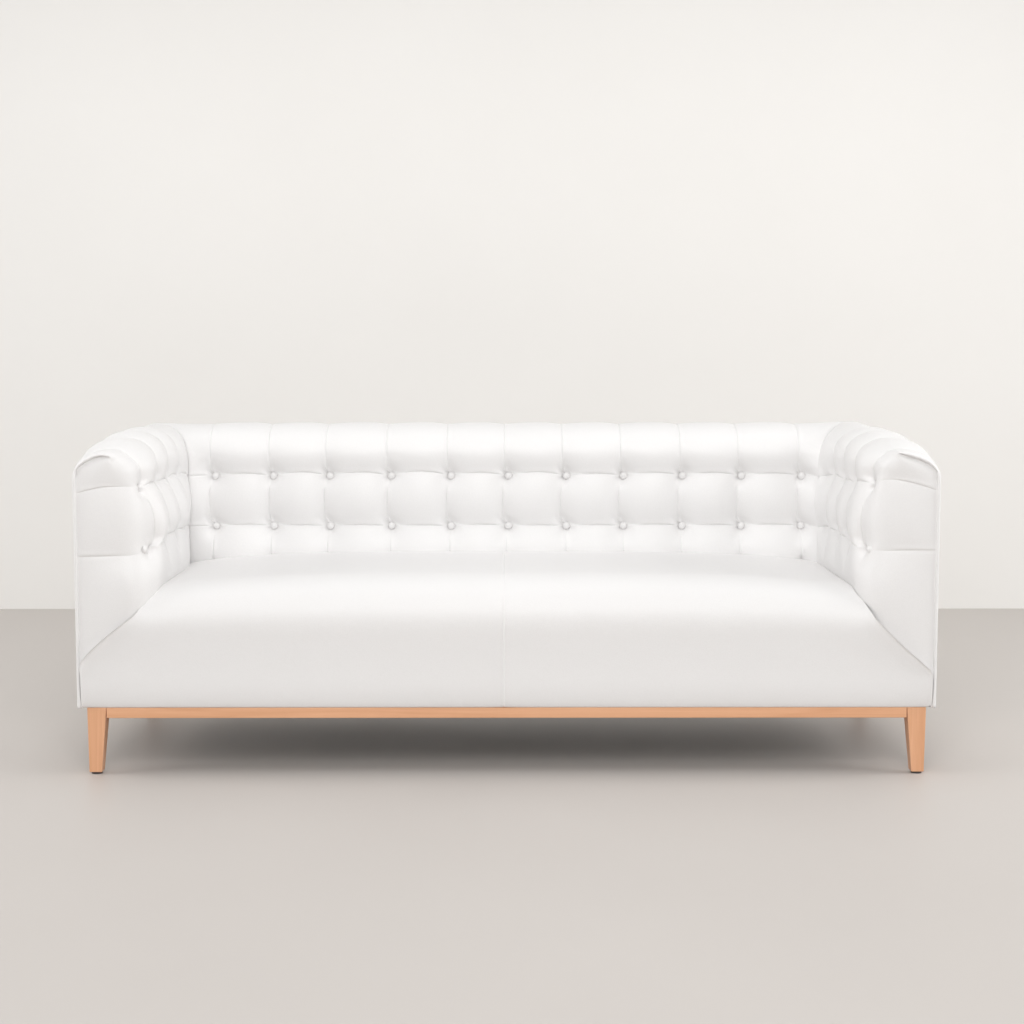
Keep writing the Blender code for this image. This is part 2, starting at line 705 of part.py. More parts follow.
cut(
    arm_pad,
    cutter_box(
        "arm_diagonal",
        (-2 * diagonal_length, FRONT - CUTTER_REACH, -2 * diagonal_length),
        (2 * diagonal_length, CAVITY_FRONT_Y + CLEARANCE, 0.0),
        diagonal_place @ Matrix.Rotation(-diagonal_angle, 4, "Y"),
    ),
)
smooth(arm_pad)

# The right arm pad is the left one's mirror image
bpy.context.view_layer.update()
finished_arm = arm_pad.evaluated_get(bpy.context.evaluated_depsgraph_get())
mirrored_mesh = bpy.data.meshes.new_from_object(finished_arm)
mirrored_mesh.name = "right_arm_pad"
mirrored_mesh.transform(Matrix.Diagonal((-1.0, 1.0, 1.0, 1.0)))
mirrored_mesh.flip_normals()
add_object("right_arm_pad", mirrored_mesh, None)

# Seat pad: crowned between the arms, rolled down the front, its border as wide as the sofa
seat_side = ARM_FACE - CLEARANCE
seat_rear = BACK_FACE - CLEARANCE


def seat_ring(x):
    """The seat's section: up the front, over a full soft roll, and level to the back."""
    inside = min(1.0, abs(x) / seat_side)
    crown = SEAT_CROWN * (1.0 - inside**SEAT_CROWN_POWER)
    ring = []
    for degrees in (0, 15, 30, 45, 60, 75, 90):
        turn = math.radians(degrees)
        rise = math.sin(turn) ** (2 / SEAT_ROLL_POWER)
        y = FRONT + SEAT_ROLL_DEPTH * (1 - max(0.0, math.cos(turn)) ** (2 / SEAT_ROLL_POWER))
        ring.append((y, SEAT_SIDE_HEIGHT - SEAT_ROLL_HEIGHT * (1 - rise) + crown * rise))
    top = SEAT_SIDE_HEIGHT + crown
    ring.append((seat_rear - SEAT_REAR_ROLL, top))
    ring.append((seat_rear, top - SEAT_REAR_DIP))
    ring.append((seat_rear, COVER_BOTTOM))
    for step in (1.0, 0.75, 0.5, 0.0):
        ring.append((FRONT + SEAT_FOOT_SETBACK * step**2, COVER_BOTTOM + SEAT_FOOT_HEIGHT * (1 - step)))
    return [(x, y, z) for y, z in ring]


seat_shares = [0.0, 0.14, 0.28, 0.42, 0.56, 0.70, 0.82, 0.92, 1.0]
seat_places = sorted({side * share * seat_side for share in seat_shares for side in (-1, 1)})
seat_places = [-PAD_SIDE, *seat_places, PAD_SIDE]
seat_mesh = loft([seat_ring(x) for x in seat_places])
seat_pad = add_object("seat_pad", finish_mesh(seat_mesh, "seat_pad"), LEATHER)
cut(
    seat_pad,
    cutter_box(
        "seat_underside",
        (-SIDE - CUTTER_REACH, CAVITY_FRONT_Y, COVER_BOTTOM - CUTTER_REACH),
        (SIDE + CUTTER_REACH, REAR + CUTTER_REACH, PAD_BOTTOM),
    ),
)
for hand, side in (("left", -1), ("right", 1)):
    near_x, far_x = sorted((side * seat_side, side * (SIDE + CUTTER_REACH)))
    cut(
        seat_pad,
        cutter_box(
            f"{hand}_seat_shoulder",
            (near_x, CAVITY_FRONT_Y, COVER_BOTTOM - CUTTER_REACH),
            (far_x, REAR + CUTTER_REACH, HEIGHT),
        ),
    )
    turn = Matrix.Translation((side * ARM_FACE, 0.0, DIAGONAL_INNER)) @ Matrix.Rotation(
        side * diagonal_angle, 4, "Y"
    )
    low_x, high_x = sorted((0.0, side * 2 * diagonal_length))
    cut(
        seat_pad,
        cutter_box(
            f"{hand}_border_diagonal",
            (low_x, FRONT - CUTTER_REACH, 0.0),
            (high_x, REAR + CUTTER_REACH, 2 * diagonal_length),
            turn,
        ),
    )
smooth(seat_pad)

# Outside panels, tacked under the roll, and the welts in front of them
panel_top = PANEL_TOP - CLEARANCE
welt_y = FRONT + WELT_RADIUS
panel_front = welt_y + WELT_RADIUS + CLEARANCE


board(
    "back_outside_panel",
    (-SIDE, PANEL_INNER_Y, COVER_BOTTOM),
    (SIDE, REAR, panel_top),
    LEATHER,
    BOARD_EDGE,
)
for hand, side in (("left", -1), ("right", 1)):
    inner_x, outer_x = sorted((side * PANEL_INNER_X, side * SIDE))
    board(
        f"{hand}_outside_panel",
        (inner_x, panel_front, COVER_BOTTOM),
        (outer_x, PANEL_INNER_Y - CLEARANCE, panel_top),
        LEATHER,
        BOARD_EDGE,
    )
    curve = bpy.data.curves.new(f"{hand}_arm_welt", "CURVE")
    curve.dimensions = "3D"
    curve.bevel_depth = WELT_RADIUS
    curve.bevel_resolution = 2
    curve.use_fill_caps = True
    welt_line = curve.splines.new("POLY")
    welt_line.points.add(1)
    for point, z in zip(welt_line.points, (COVER_BOTTOM, panel_top)):
        point.co = (side * (SIDE - WELT_RADIUS), welt_y, z, 1.0)
    add_object(f"{hand}_arm_welt", curve, LEATHER)
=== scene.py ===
import math

import bmesh
import bpy
import numpy as np
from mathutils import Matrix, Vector


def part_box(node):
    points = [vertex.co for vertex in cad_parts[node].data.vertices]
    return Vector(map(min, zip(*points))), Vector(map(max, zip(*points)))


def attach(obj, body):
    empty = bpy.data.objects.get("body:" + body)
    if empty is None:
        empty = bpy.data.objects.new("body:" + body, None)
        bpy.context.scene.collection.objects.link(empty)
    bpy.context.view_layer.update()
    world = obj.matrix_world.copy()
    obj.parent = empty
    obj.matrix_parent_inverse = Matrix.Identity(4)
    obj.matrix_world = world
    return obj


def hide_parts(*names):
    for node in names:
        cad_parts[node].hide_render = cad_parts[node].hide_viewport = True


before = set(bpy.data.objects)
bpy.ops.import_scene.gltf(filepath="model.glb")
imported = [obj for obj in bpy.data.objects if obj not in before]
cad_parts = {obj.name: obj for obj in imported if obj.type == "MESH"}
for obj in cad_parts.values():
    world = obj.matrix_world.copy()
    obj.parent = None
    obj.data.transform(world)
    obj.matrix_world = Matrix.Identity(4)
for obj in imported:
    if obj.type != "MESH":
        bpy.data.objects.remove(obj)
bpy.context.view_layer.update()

# Camera
# The photograph is taken square on to the sofa from four metres away, at about chest height,
# looking down by five degrees, so the seat shows as a shallow band and the arms as narrow faces.
IMAGE_SIZE = 1024
FOCAL_PIXELS = 1742
camera = bpy.data.objects.new("camera", bpy.data.cameras.new("camera"))
bpy.context.scene.collection.objects.link(camera)
bpy.context.scene.camera = camera
camera.data.sensor_width = 36.0
camera.data.lens = FOCAL_PIXELS / IMAGE_SIZE * camera.data.sensor_width
camera.location = (0.0, -4.5986, 1.0325)
camera.rotation_euler = (math.radians(90 - 5.215), 0.0, math.radians(-0.17))

# Leather
# The hide is finished in white with a fine natural grain and a satin surface. It is a little
# uneven all over, as soft leather over padding is, and never quite one tone of white.


def feed(tree, node, sources):
    """Gives a node's inputs their values, or joins them to the outputs of other nodes."""
    for socket, source in sources.items():
        if isinstance(source, bpy.types.NodeSocket):
            tree.links.new(source, node.inputs[socket])
        else:
            node.inputs[socket].default_value = source


def add_node(tree, kind, sources=None, **settings):
    made = tree.nodes.new(kind)
    for name, value in settings.items():
        setattr(made, name, value)
    feed(tree, made, sources or {})
    return made


def noise(tree, where, scale, detail=2.0, roughness=0.5, distortion=0.0):
    """Soft random patches, of that many to the metre."""
    sources = {"Vector": where, "Scale": scale, "Detail": detail}
    sources.update({"Roughness": roughness, "Distortion": distortion})
    return add_node(tree, "ShaderNodeTexNoise", sources).outputs["Fac"]


def spread_range(tree, value, low, high, out_low, out_high):
    sources = {"Value": value, "From Min": low, "From Max": high}
    sources.update({"To Min": out_low, "To Max": out_high})
    return add_node(tree, "ShaderNodeMapRange", sources).outputs["Result"]


def bump(tree, height, distance, strength, below=None):
    sources = {"Height": height, "Distance": distance, "Strength": strength}
    if below:
        sources["Normal"] = below
    return add_node(tree, "ShaderNodeBump", sources).outputs["Normal"]


def blend_colours(tree, share, first, second):
    sources = {"Factor": share}
    for place, colour in ((6, first), (7, second)):
        sources[place] = (*colour, 1.0) if isinstance(colour, tuple) else colour
    return add_node(tree, "ShaderNodeMix", sources, data_type="RGBA").outputs[2]


def start_group(name, inputs=None):
    """A shader effect: its tree, where each point lies, its end and what comes in."""
    tree = bpy.data.node_groups.new(name, "ShaderNodeTree")
    for socket, kind in {"Colour": "Color", "Roughness": "Float", "Normal": "Vector"}.items():
        tree.interface.new_socket(socket, in_out="OUTPUT", socket_type=f"NodeSocket{kind}")
    for socket, kind in (inputs or {}).items():
        tree.interface.new_socket(socket, in_out="INPUT", socket_type=f"NodeSocket{kind}")
    end = add_node(tree, "NodeGroupOutput")
    where = add_node(tree, "ShaderNodeTexCoord").outputs["Object"]
    return tree, where, end, add_node(tree, "NodeGroupInput").outputs


hide, where, hide_out, _ = start_group("hide")
wander = add_node(hide, "ShaderNodeTexNoise", {"Vector": where, "Scale": 260.0}).outputs["Color"]
bend = {0: wander, 1: (0.0015, 0.0015, 0.0015), 2: where}
bent = add_node(hide, "ShaderNodeVectorMath", bend, operation="MULTIPLY_ADD").outputs["Vector"]
cells = add_node(hide, "ShaderNodeTexVoronoi", {"Vector": bent, "Scale": 620.0}, feature="DISTANCE_TO_EDGE")
pebbles = spread_range(hide, cells.outputs["Distance"], 0.0, 0.22, 0.0, 1.0)
soft_waves = noise(hide, where, 9.0, 3.0, 0.55)
fine_creases = noise(hide, where, 70.0, 6.0, 0.62, 0.6)
tone = noise(hide, where, 3.5, 3.0)
waved = bump(hide, soft_waves, 0.004, 0.35)
creased = bump(hide, fine_creases, 0.0007, 0.30, waved)
grained = bump(hide, pebbles, 0.00012, 0.35, creased)
toned = blend_colours(hide, tone, (0.815, 0.806, 0.802), (0.845, 0.838, 0.835))
# the lines between the grain's pebbles are coloured a little darker than the hide: painted shade in the
# grain's creases
painted_crease_shade = blend_colours(hide, pebbles, (0.785, 0.774, 0.768), toned)
satin = spread_range(hide, fine_creases, 0.3, 0.7, 0.40, 0.52)
feed(hide, hide_out, {"Colour": painted_crease_shade, "Roughness": satin, "Normal": grained})


def material(name, group, values=None, specular=0.5, metallic=0.0):
    made = bpy.data.materials.new(name)
    made.use_nodes = True
    tree = made.node_tree
    effect = add_node(tree, "ShaderNodeGroup", values, node_tree=group).outputs
    surface = {"Base Color": effect["Colour"], "Roughness": effect["Roughness"], "Normal": effect["Normal"]}
    surface.update({"Specular IOR Level": specular, "Metallic": metallic})
    feed(tree, tree.nodes["Principled BSDF"], surface)
    return made


leather = material("leather", hide, specular=0.45)

# Tufted back
# One hide is laid over foam and pulled in by two rows of covered buttons. The spare leather is
# folded into pleats that run between the buttons and over the top to the back edge. It is
# tacked under the roll behind, and mitred to the arms from the inner to the outer corner.
HEIGHT = 0.837
FRONT = -0.400
BACK_FACE = 0.185
BACK_THICKNESS = 0.215
ARM_FACE = 0.870
ARM_WIDTH = 0.180
INNER_ROLL_FOOT = 0.742
OUTER_ROLL_FOOT = 0.755
ROLL_POWER = 2.15
PANEL_TOP = 0.734
COVER_FOOT = 0.397
UPPER_ROW = 0.694
LOWER_ROW = 0.555
BACK_COLUMNS = [-0.805, -0.645, -0.489, -0.319, -0.154, 0.005, 0.165, 0.323, 0.486, 0.650, 0.816]
BUTTON_DEPTH = 0.031
BUTTON_REACH = 0.0125
PLEAT_DEPTH = 0.013
BACK_ARCHES = (0.004, 0.011)
rng = np.random.default_rng(7)


def graded(start, end, at_start=True, at_end=True, step=0.0125):
    """Places from one seam to the next, close together beside each seam that is sewn."""
    near = np.array([0.0, 0.0008, 0.0020, 0.0042, 0.0080, 0.0140, 0.0220, 0.0320])
    near = near[near < 0.42 * (end - start)]
    first = near if at_start else near[:1]
    last = near if at_end else near[:1]
    steps = max(2, math.ceil((end - start - first[-1] - last[-1]) / step))
    middle = np.linspace(start + first[-1], end - last[-1], steps + 1)
    return np.concatenate([start + first, middle[1:-1], end - last[::-1]])


def lay_lines(seams):
    """All grid lines through a list of seams, and the number of the line on each seam."""
    lines = [seams[0]]
    numbers = [0]
    for start, end in zip(seams, seams[1:]):
        lines.extend(graded(start, end)[1:])
        numbers.append(len(lines) - 1)
    return np.array(lines), numbers


def solve_lines(low, middle, high, right):
    """Solves many three-term chains at once, one per column."""
    count = len(middle)
    high = high.copy()
    right = right.copy()
    high[0] = high[0] / middle[0]
    right[0] = right[0] / middle[0]
    for i in range(1, count):
        scale = middle[i] - low[i] * high[i - 1]
        high[i] = high[i] / scale
        right[i] = (right[i] - low[i] * right[i - 1]) / scale
    for i in range(count - 2, -1, -1):
        right[i] = right[i] - high[i] * right[i + 1]
    return right


def stretch(s, t, held, heights, load, rounds=60):
    """Heights of a skin held at its seams and pushed out between them, as padding pushes leather."""
    shape = np.where(held, heights, 0.0)

    def weights(places):
        before = np.diff(places, prepend=places[0] - 1.0)
        after = np.diff(places, append=places[-1] + 1.0)
        return 2 / (before * (before + after)), 2 / (after * (before + after))

    west, east = (w[:, None] * np.ones((1, len(t))) for w in weights(s))
    south, north = (w[None, :] * np.ones((len(s), 1)) for w in weights(t))
    west[0] = east[-1] = 0.0
    south[:, 0] = north[:, -1] = 0.0
    total = np.where(held, 1.0, west + east + south + north)
    low, high = (np.where(held, 0, -w) for w in (west, east))
    left, right = (np.where(held, 0, -w).T for w in (south, north))

    def around(a, b, along):
        sums = np.zeros_like(shape)
        if along == 0:
            sums[1:] += a[1:] * shape[:-1]
            sums[:-1] += b[:-1] * shape[1:]
        else:
            sums[:, 1:] += a[:, 1:] * shape[:, :-1]
            sums[:, :-1] += b[:, :-1] * shape[:, 1:]
        return sums

    for _ in range(rounds):
        pushed = np.where(held, heights, load + around(south, north, 1))
        shape = solve_lines(low, total, high, pushed)
        pushed = np.where(held, heights, load + around(west, east, 0))
        shape = solve_lines(left, total.T, right, pushed.T).T
    return shape


def section(thickness, foot, count=400):
    """The outline of a back or arm: up its inner face, over the top and down to the tacked edge."""
    turns = np.linspace(0.0, math.pi, count)
    roll_foot = np.where(turns < math.pi / 2, INNER_ROLL_FOOT, OUTER_ROLL_FOOT)
    share = 0.5 - 0.5 * np.sign(np.cos(turns)) * np.abs(np.cos(turns)) ** (2 / ROLL_POWER)
    rise = roll_foot + (HEIGHT - roll_foot) * np.clip(np.sin(turns), 0, 1) ** (2 / ROLL_POWER)
    share = np.concatenate([[0.0], share, [1.0]])
    rise = np.concatenate([[foot], rise, [PANEL_TOP]])
    along = np.concatenate([[0.0], np.cumsum(np.hypot(np.diff(share * thickness), np.diff(rise)))])
    return along, share, rise


def outward(points):
    """The direction that each point of a grid faces."""
    first = np.gradient(points, axis=0)
    second = np.gradient(points, axis=1)
    normal = np.cross(first, second)
    length = np.linalg.norm(normal, axis=2, keepdims=True)
    return normal / np.maximum(length, 1e-12)


def placed(name, mesh, finish, levels=0):
    """An object of that mesh in the scene, in its finish and smoothed."""
    mesh.materials.append(finish)
    mesh.shade_smooth()
    made = bpy.data.objects.new(name, mesh)
    bpy.context.scene.collection.objects.link(made)
    if levels:
        smoother = made.modifiers.new("smooth", "SUBSURF")
        smoother.levels = smoother.render_levels = levels
    return made


def skin(name, points, finish, flip=False, levels=1):
    """A cover made from a grid of points."""
    wide, tall = points.shape[:2]
    numbers = np.arange(wide * tall).reshape(wide, tall)
    quads = np.stack([numbers[:-1, :-1], numbers[1:, :-1], numbers[1:, 1:], numbers[:-1, 1:]], axis=-1)
    quads = quads.reshape(-1, 4)
    if flip:
        quads = quads[:, ::-1]
    mesh = bpy.data.meshes.new(name)
    mesh.from_pydata(points.reshape(-1, 3).tolist(), [], quads.tolist())
    return placed(name, mesh, finish, levels)


def hump(x, width):
    return np.exp(-((x / width) ** 2))


def pleat(distance, strength, lap=1.0):
    """The cut across a pleat: a narrow fold with the leather lapped over it from one side."""
    groove = -0.0015 * hump(distance, 0.0016)
    lip = 0.0011 * lap * hump(distance - 0.0036 * lap, 0.0022 * lap)
    return strength * (groove + lip)


def lapped(distance, strength):
    """A pleat whose near side laps right over the far one: how far it stands out and slides."""
    out = 0.0020 * hump(distance + 0.0016, 0.0022) - 0.0085 * hump(distance - 0.0014, 0.0017)
    return strength * out, strength * 0.0048 * hump(distance + 0.0012, 0.0018)


class Tufting:
    """A padded cover seen flat: where seams and buttons hold it in, and the folds beside them."""

    def __init__(self, s, t, rows):
        self.s, self.t, self.rows = s, t, rows
        self.held = np.zeros((len(s), len(t)), bool)
        self.heights, self.folds, self.wells = np.zeros((3, *self.held.shape))
        self.shift, self.lift, self.slide = np.zeros((3, *self.held.shape))

    def hold(self, i, j, height):
        self.held[i, j] = True
        self.heights[i, j] = height

    def column(self, i, over_top=0.0, reach=0.74, foot=1.0):
        """A pleat through both buttons of a column; it lies a little to the left of them."""
        lower, upper = (self.t[j] for j in self.rows)
        beside = self.s - self.s[i]
        lean = [rng.uniform(*bounds) for bounds in ((0.010, 0.015), (0.011, 0.018), (0.001, 0.009))]
        rest = 0.003 + 0.007 * over_top
        for j, place in enumerate(self.t):
            above, from_lower, from_upper = place - upper, place - lower, upper - place
            if above >= 0:
                fade = math.exp(-((above / (0.034 + 0.021 * over_top)) ** 1.1))
                outside = over_top * min(1.0, max(0.0, (place - self.t[-1] + 0.13) / 0.07))
                self.hold(i, j, -rest * (1 - 0.9 * outside) - (BUTTON_DEPTH - rest) * fade)
                strength = min(1.0, above / 0.015) * (1 - 0.8 * outside)
                shift = lean[0] * min(1.0, above / 0.022)
            elif from_lower >= 0:
                share = from_lower / (upper - lower)
                near = math.exp(-from_lower / 0.040) + math.exp(-from_upper / 0.012)
                if share < reach or from_upper < 0.010:
                    self.hold(i, j, -PLEAT_DEPTH - (BUTTON_DEPTH - PLEAT_DEPTH) * min(1.0, near))
                elif over_top:
                    slack = 0.011 * math.sin(math.pi * min(1.0, (share - reach) / (0.96 - reach)))
                    self.hold(i, j, -PLEAT_DEPTH + slack - (BUTTON_DEPTH - PLEAT_DEPTH) * min(1.0, near))
                strength = min(1.0, from_lower / 0.012) * max(0.0, min(1.0, (reach + 0.08 - share) / 0.1))
                if over_top:
                    strength = min(1.0, from_lower / 0.012, from_upper / 0.020) * (1 - 0.6 * share)
                shift = lean[1] * min(1.0, from_lower / 0.022, from_upper / 0.035)
            else:
                share = place / lower
                if share < 0.50 and foot > 0.5:
                    self.hold(i, j, -PLEAT_DEPTH + 0.003 - 0.004 * share)
                strength = foot * max(0.0, min(1.0, (0.90 - share) / 0.25))
                shift = lean[2] * min(1.0, -from_lower / 0.03)
            if over_top:
                folded, slid = lapped(beside, strength)
                self.folds[:, j] += folded
                self.slide[:, j] += slid
            else:
                self.folds[:, j] += pleat(beside, strength)
            self.shift[:, j] -= shift * hump(beside, 0.045)

    def row(self, j, left, right, arch=0.0, rest=PLEAT_DEPTH, buttons=(True, True), fold=1.0):
        """A sewn row from one column to the next, arched a little and deepest at its buttons."""
        beside = self.t - self.t[j]
        folds = np.broadcast_to(fold, len(self.s))
        for i in range(left, right + 1):
            gaps = [self.s[i] - self.s[left], self.s[right] - self.s[i]]
            near = min(gap for gap, button in zip(gaps, buttons) if button)
            far = min([gap for gap, button in zip(gaps, buttons) if not button], default=1.0)
            height = -rest - (BUTTON_DEPTH - rest) * math.exp(-near / 0.022)
            if far < 0.032:
                height += (self.heights[0 if left == 0 else -1, j] - height) * (1 - far / 0.032) ** 1.5
            self.hold(i, j, height)
            if i == right and right < len(self.s) - 1:
                continue
            strength = folds[i] * min(1.0, near / 0.015, far / 0.008)
            self.folds[i, :] += pleat(beside, strength, 1.6)
            share = gaps[0] / (gaps[0] + gaps[1])
            self.lift[i, :] += arch * math.sin(math.pi * share) * hump(beside, 0.045)

    def button(self, i, j, well=0.010, size=1.0):
        """A button, and the hollow beside and above it where the folded leather lies slack."""
        beside = np.clip(self.s - self.s[i], 0, None)[:, None]
        above = np.clip(self.t - self.t[j], 0, None)[None, :]
        disc = np.hypot(self.s[:, None] - self.s[i], self.t[None, :] - self.t[j])
        self.held |= disc < BUTTON_REACH
        self.heights[disc < BUTTON_REACH] = -BUTTON_DEPTH - 0.004
        hollow = np.exp(-((beside / size / 0.036) ** 1.5)) * np.exp(-((above / size / 0.042) ** 1.5))
        hollow = hollow * np.clip(beside / 0.003, 0, 1) * np.clip(above / 0.003, 0, 1)
        self.wells += well * hollow * np.clip((disc - 0.010) / 0.012, 0, 1)

    def solve(self, load):
        return stretch(self.s, self.t, self.held, self.heights, load) + self.folds - self.wells


MITRE_PLACES = {
    "left": [-0.017, -0.013, -0.007, -0.014, -0.013, -0.016, -0.012],
    "right": [0.011, 0.013, 0.023, 0.015, 0.016, 0.008, 0.000],
}


def mitre_height(t, e_line, rows, hand):
    """How far the mitre stands out of the face, from the seat up over the top to the outer corner."""
    marks = [0.05, rows[0], (rows[0] + rows[1]) / 2, rows[1], rows[1] + 0.03, rows[1] + 0.07, rows[1] + 0.12]
    return np.interp(t, marks, MITRE_PLACES[hand]) * (1 - np.clip((e_line - 0.35) / 0.35, 0, 1))


def seam_roll(distance):
    """The soft roll of leather on each side of the mitre, which leaves a deep seam between."""
    return 0.0055 * (1 - hump(distance, 0.0036)) * np.exp(-np.abs(distance) / 0.022)


def facing_share(t, e_line, z_line, thickness):
    """How much of a cover's outward direction points level, from 1 on its inner face to 0 on top."""
    rise = np.gradient(z_line, t)
    return rise / np.hypot(rise, np.gradient(e_line * thickness, t))


back_s, back_seams = lay_lines([-ARM_FACE, *BACK_COLUMNS, ARM_FACE])
along, share, rise = section(BACK_THICKNESS, COVER_FOOT)
half = len(rise) // 2
rows_t = [float(np.interp(row, rise[:half], along[:half])) for row in (LOWER_ROW, UPPER_ROW)]
back_t, back_rows = lay_lines([0.0, *rows_t, float(along[-1])])
e_line = np.interp(back_t, along, share)
z_line = np.interp(back_t, along, rise)

back = Tufting(back_s, back_t, back_rows[1:-1])
for i, hand in ((0, "left"), (-1, "right")):
    back.heights[i, :] = mitre_height(back_t, e_line, rows_t, hand) * BACK_THICKNESS / ARM_WIDTH
for i in back_seams[1:-1]:
    back.column(i)
for k, j in enumerate(back.rows):
    for left, right in zip(back_seams, back_seams[1:]):
        ends = (left > 0, right < len(back_s) - 1)
        arch = BACK_ARCHES[k] * rng.uniform(0.6, 1.3) * (1.0 if all(ends) else 0.15)
        back.row(j, left, right, arch, buttons=ends)
back.held[0, :] = back.held[-1, :] = True
back.held[:, 0] = back.held[:, -1] = True
back.heights[:, 0] = -0.020
back.heights[:, -1] = -0.001
for i in back_seams[1:-1]:
    for j in back.rows:
        back.button(i, j, 0.026, 0.72)
top_share = np.clip((back_t - rows_t[1] - 0.03) / 0.06, 0, 1)
height_map = back.solve((11.0 - 9.3 * top_share)[None, :] * np.ones((len(back_s), 1)))
height_map += seam_roll(ARM_FACE - np.abs(back_s))[:, None]

last = np.where(back_s > 0, BACK_COLUMNS[-1], -BACK_COLUMNS[0])
beyond = np.clip((np.abs(back_s) - last) / (ARM_FACE - last), 0, 1)[:, None]
edge_x = (ARM_FACE + e_line * ARM_WIDTH)[None, :]
last = last[:, None]
x_grid = np.where(beyond > 0, np.sign(back_s)[:, None] * (last + beyond * (edge_x - last)), back_s[:, None])
x_grid = x_grid + back.shift * (1 - beyond) ** 0.5
level = facing_share(back_t, e_line, z_line, BACK_THICKNESS)
mitre_heights = np.where(back_s[:, None] > 0, height_map[[-1], :], height_map[[0], :])
x_grid -= np.sign(back_s)[:, None] * beyond**3 * mitre_heights * level * ARM_WIDTH / BACK_THICKNESS
y_grid = np.broadcast_to(BACK_FACE + e_line * BACK_THICKNESS, x_grid.shape)
z_grid = np.broadcast_to(z_line, x_grid.shape) + back.lift * (e_line < 0.02)
base = np.stack([x_grid, y_grid, z_grid], axis=-1)
facing = outward(base)
if facing[len(back_s) // 2, 10, 1] > 0:
    facing = -facing
back_cover = skin("back_cover", base + facing * height_map[..., None], leather)
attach(back_cover, "root")
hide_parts("back_pad")

# Tufted arms
# Each arm has one hide over its inner face, over the top and round the front. The two rows of
# buttons run on as sewn seams across the front. What is spare at the front's outer shoulder is
# folded under the top in one thick dart.
SIDE = ARM_FACE + ARM_WIDTH
ARM_COLUMNS = [0.045, 0.190, 0.335, 0.480]
FRONT_REACH = 0.065
FRONT_EDGE = ARM_WIDTH - 0.0060
FRONT_INNER_EDGE = 0.066
SHOULDER_X = 0.113
SHOULDER_REACH = 0.041
ARM_LENGTH = BACK_FACE - FRONT
TOP_START = 0.30
TOP_ENDS = {"left": 0.486, "right": 0.443}
ARM_FACES = {"left": 0.872, "right": 0.866}
ARM_PUFF = {"left": 17.0, "right": 12.0}
TOP_PUFF = 4.0
FRONT_PUFF = 3.2
ARM_BELLY = {"left": 0.021, "right": 0.012}
ARM_TOP_SLOPE = 0.034
FRONT_LEAN = {"left": (-0.009, 0.007), "right": (-0.004, 0.013)}
ARM_MARKS = [0.0, 0.045, 0.190, 0.335, 0.480, 0.585]
ARM_ROWS = {
    "left": ([0.541, 0.553, 0.569, 0.569, 0.563, LOWER_ROW], [0.710, 0.704, 0.708, 0.707, 0.703, UPPER_ROW]),
    "right": ([0.553, 0.552, 0.562, 0.564, 0.561, LOWER_ROW], [0.727, 0.713, 0.705, 0.702, 0.701, UPPER_ROW]),
}
ARM_ROW_ARCHES = (0.004, 0.008)
ARM_ROW_DEPTHS = (0.006, 0.011)
SEAM_ALLOWANCE = 0.018
SEAM_ENDS = {"left": (0.5395, 0.693), "right": (0.555, 0.700)}
SEAM_ARCHES = {"left": (0.000, 0.006), "right": (0.001, 0.004)}
DIAGONALS = {
    "left": [
        *((0.8795, 0.447), (0.893, 0.424), (0.905, 0.405), (0.932, 0.382)),
        *((0.965, 0.354), (0.991, 0.332), (1.019, 0.305), (1.0405, 0.281)),
    ],
    "right": [
        *((0.864, 0.447), (0.875, 0.434), (0.8985, 0.393), (0.927, 0.360)),
        *((0.951, 0.335), (0.975, 0.313), (1.000, 0.292), (1.0405, 0.255)),
    ],
}
DARTS = {
    "left": [
        *((0.9595, 0.781), (0.978, 0.786), (0.995, 0.783), (1.020, 0.771)),
        *((1.036, 0.759), (1.0430, 0.748), (1.0445, PANEL_TOP)),
    ],
    "right": [
        *((0.9475, 0.790), (0.970, 0.786), (0.998, 0.778), (1.0175, 0.769)),
        *((1.0345, 0.757), (1.0420, 0.747), (1.0445, PANEL_TOP)),
    ],
}


def around_front(count=60):
    """The level outline of an arm, from the middle of its front round to the inner face."""
    turns = np.linspace(0.0, math.pi / 2, count)
    inset = np.concatenate([1 - np.sin(turns), [0.0]])
    depth = np.concatenate([FRONT_REACH * (1 - np.cos(turns)), [ARM_LENGTH]])
    along = np.concatenate([[0.0], np.cumsum(np.hypot(np.diff(inset * 0.055), np.diff(depth)))])
    return along, depth, inset


def front_roll(e, z):
    """How far an arm's section draws in at its very front: most inside at the top, less lower down."""
    inside = np.interp(z, [0.447, LOWER_ROW, UPPER_ROW], [0.052, 0.064, 0.072])
    return inside + (0.024 - inside) * np.clip(e / 0.48, 0, 1)


def front_lean(hand, depth, z):
    """How far the inner face leans out beside the first column of buttons."""
    at_column = np.exp(-(((depth - 0.045) / 0.055) ** 2))
    return at_column * np.interp(z, [0.47, LOWER_ROW, UPPER_ROW], [0.0, *FRONT_LEAN[hand]])


def arm_belly(hand, depth, z):
    """How far the lower half of an arm's inner face swells towards the seat."""
    along_arm = np.interp(depth, [0.0, 0.09, 0.42, 0.56], [0.0, 1.0, 1.0, 0.0])
    return ARM_BELLY[hand] * along_arm**2 * (3 - 2 * along_arm) * hump(z - 0.575, 0.085)


def coons(left, right, bottom, top):
    """Fills a patch between four edges that meet at its corners; left and right run up it."""
    v = np.linspace(0.0, 1.0, len(left))[None, :, None]
    w = np.linspace(0.0, 1.0, len(bottom))[:, None, None]
    across = (1 - w) * left[None] + w * right[None]
    upwards = (1 - v) * bottom[:, None] + v * top[:, None]
    corners = (1 - w) * (1 - v) * left[0] + w * (1 - v) * right[0]
    corners = corners + (1 - w) * v * left[-1] + w * v * right[-1]
    return across + upwards - corners


def lengths(points):
    """How far along a line each of its points lies."""
    return np.concatenate([[0.0], np.cumsum(np.linalg.norm(np.diff(points, axis=0), axis=1))])


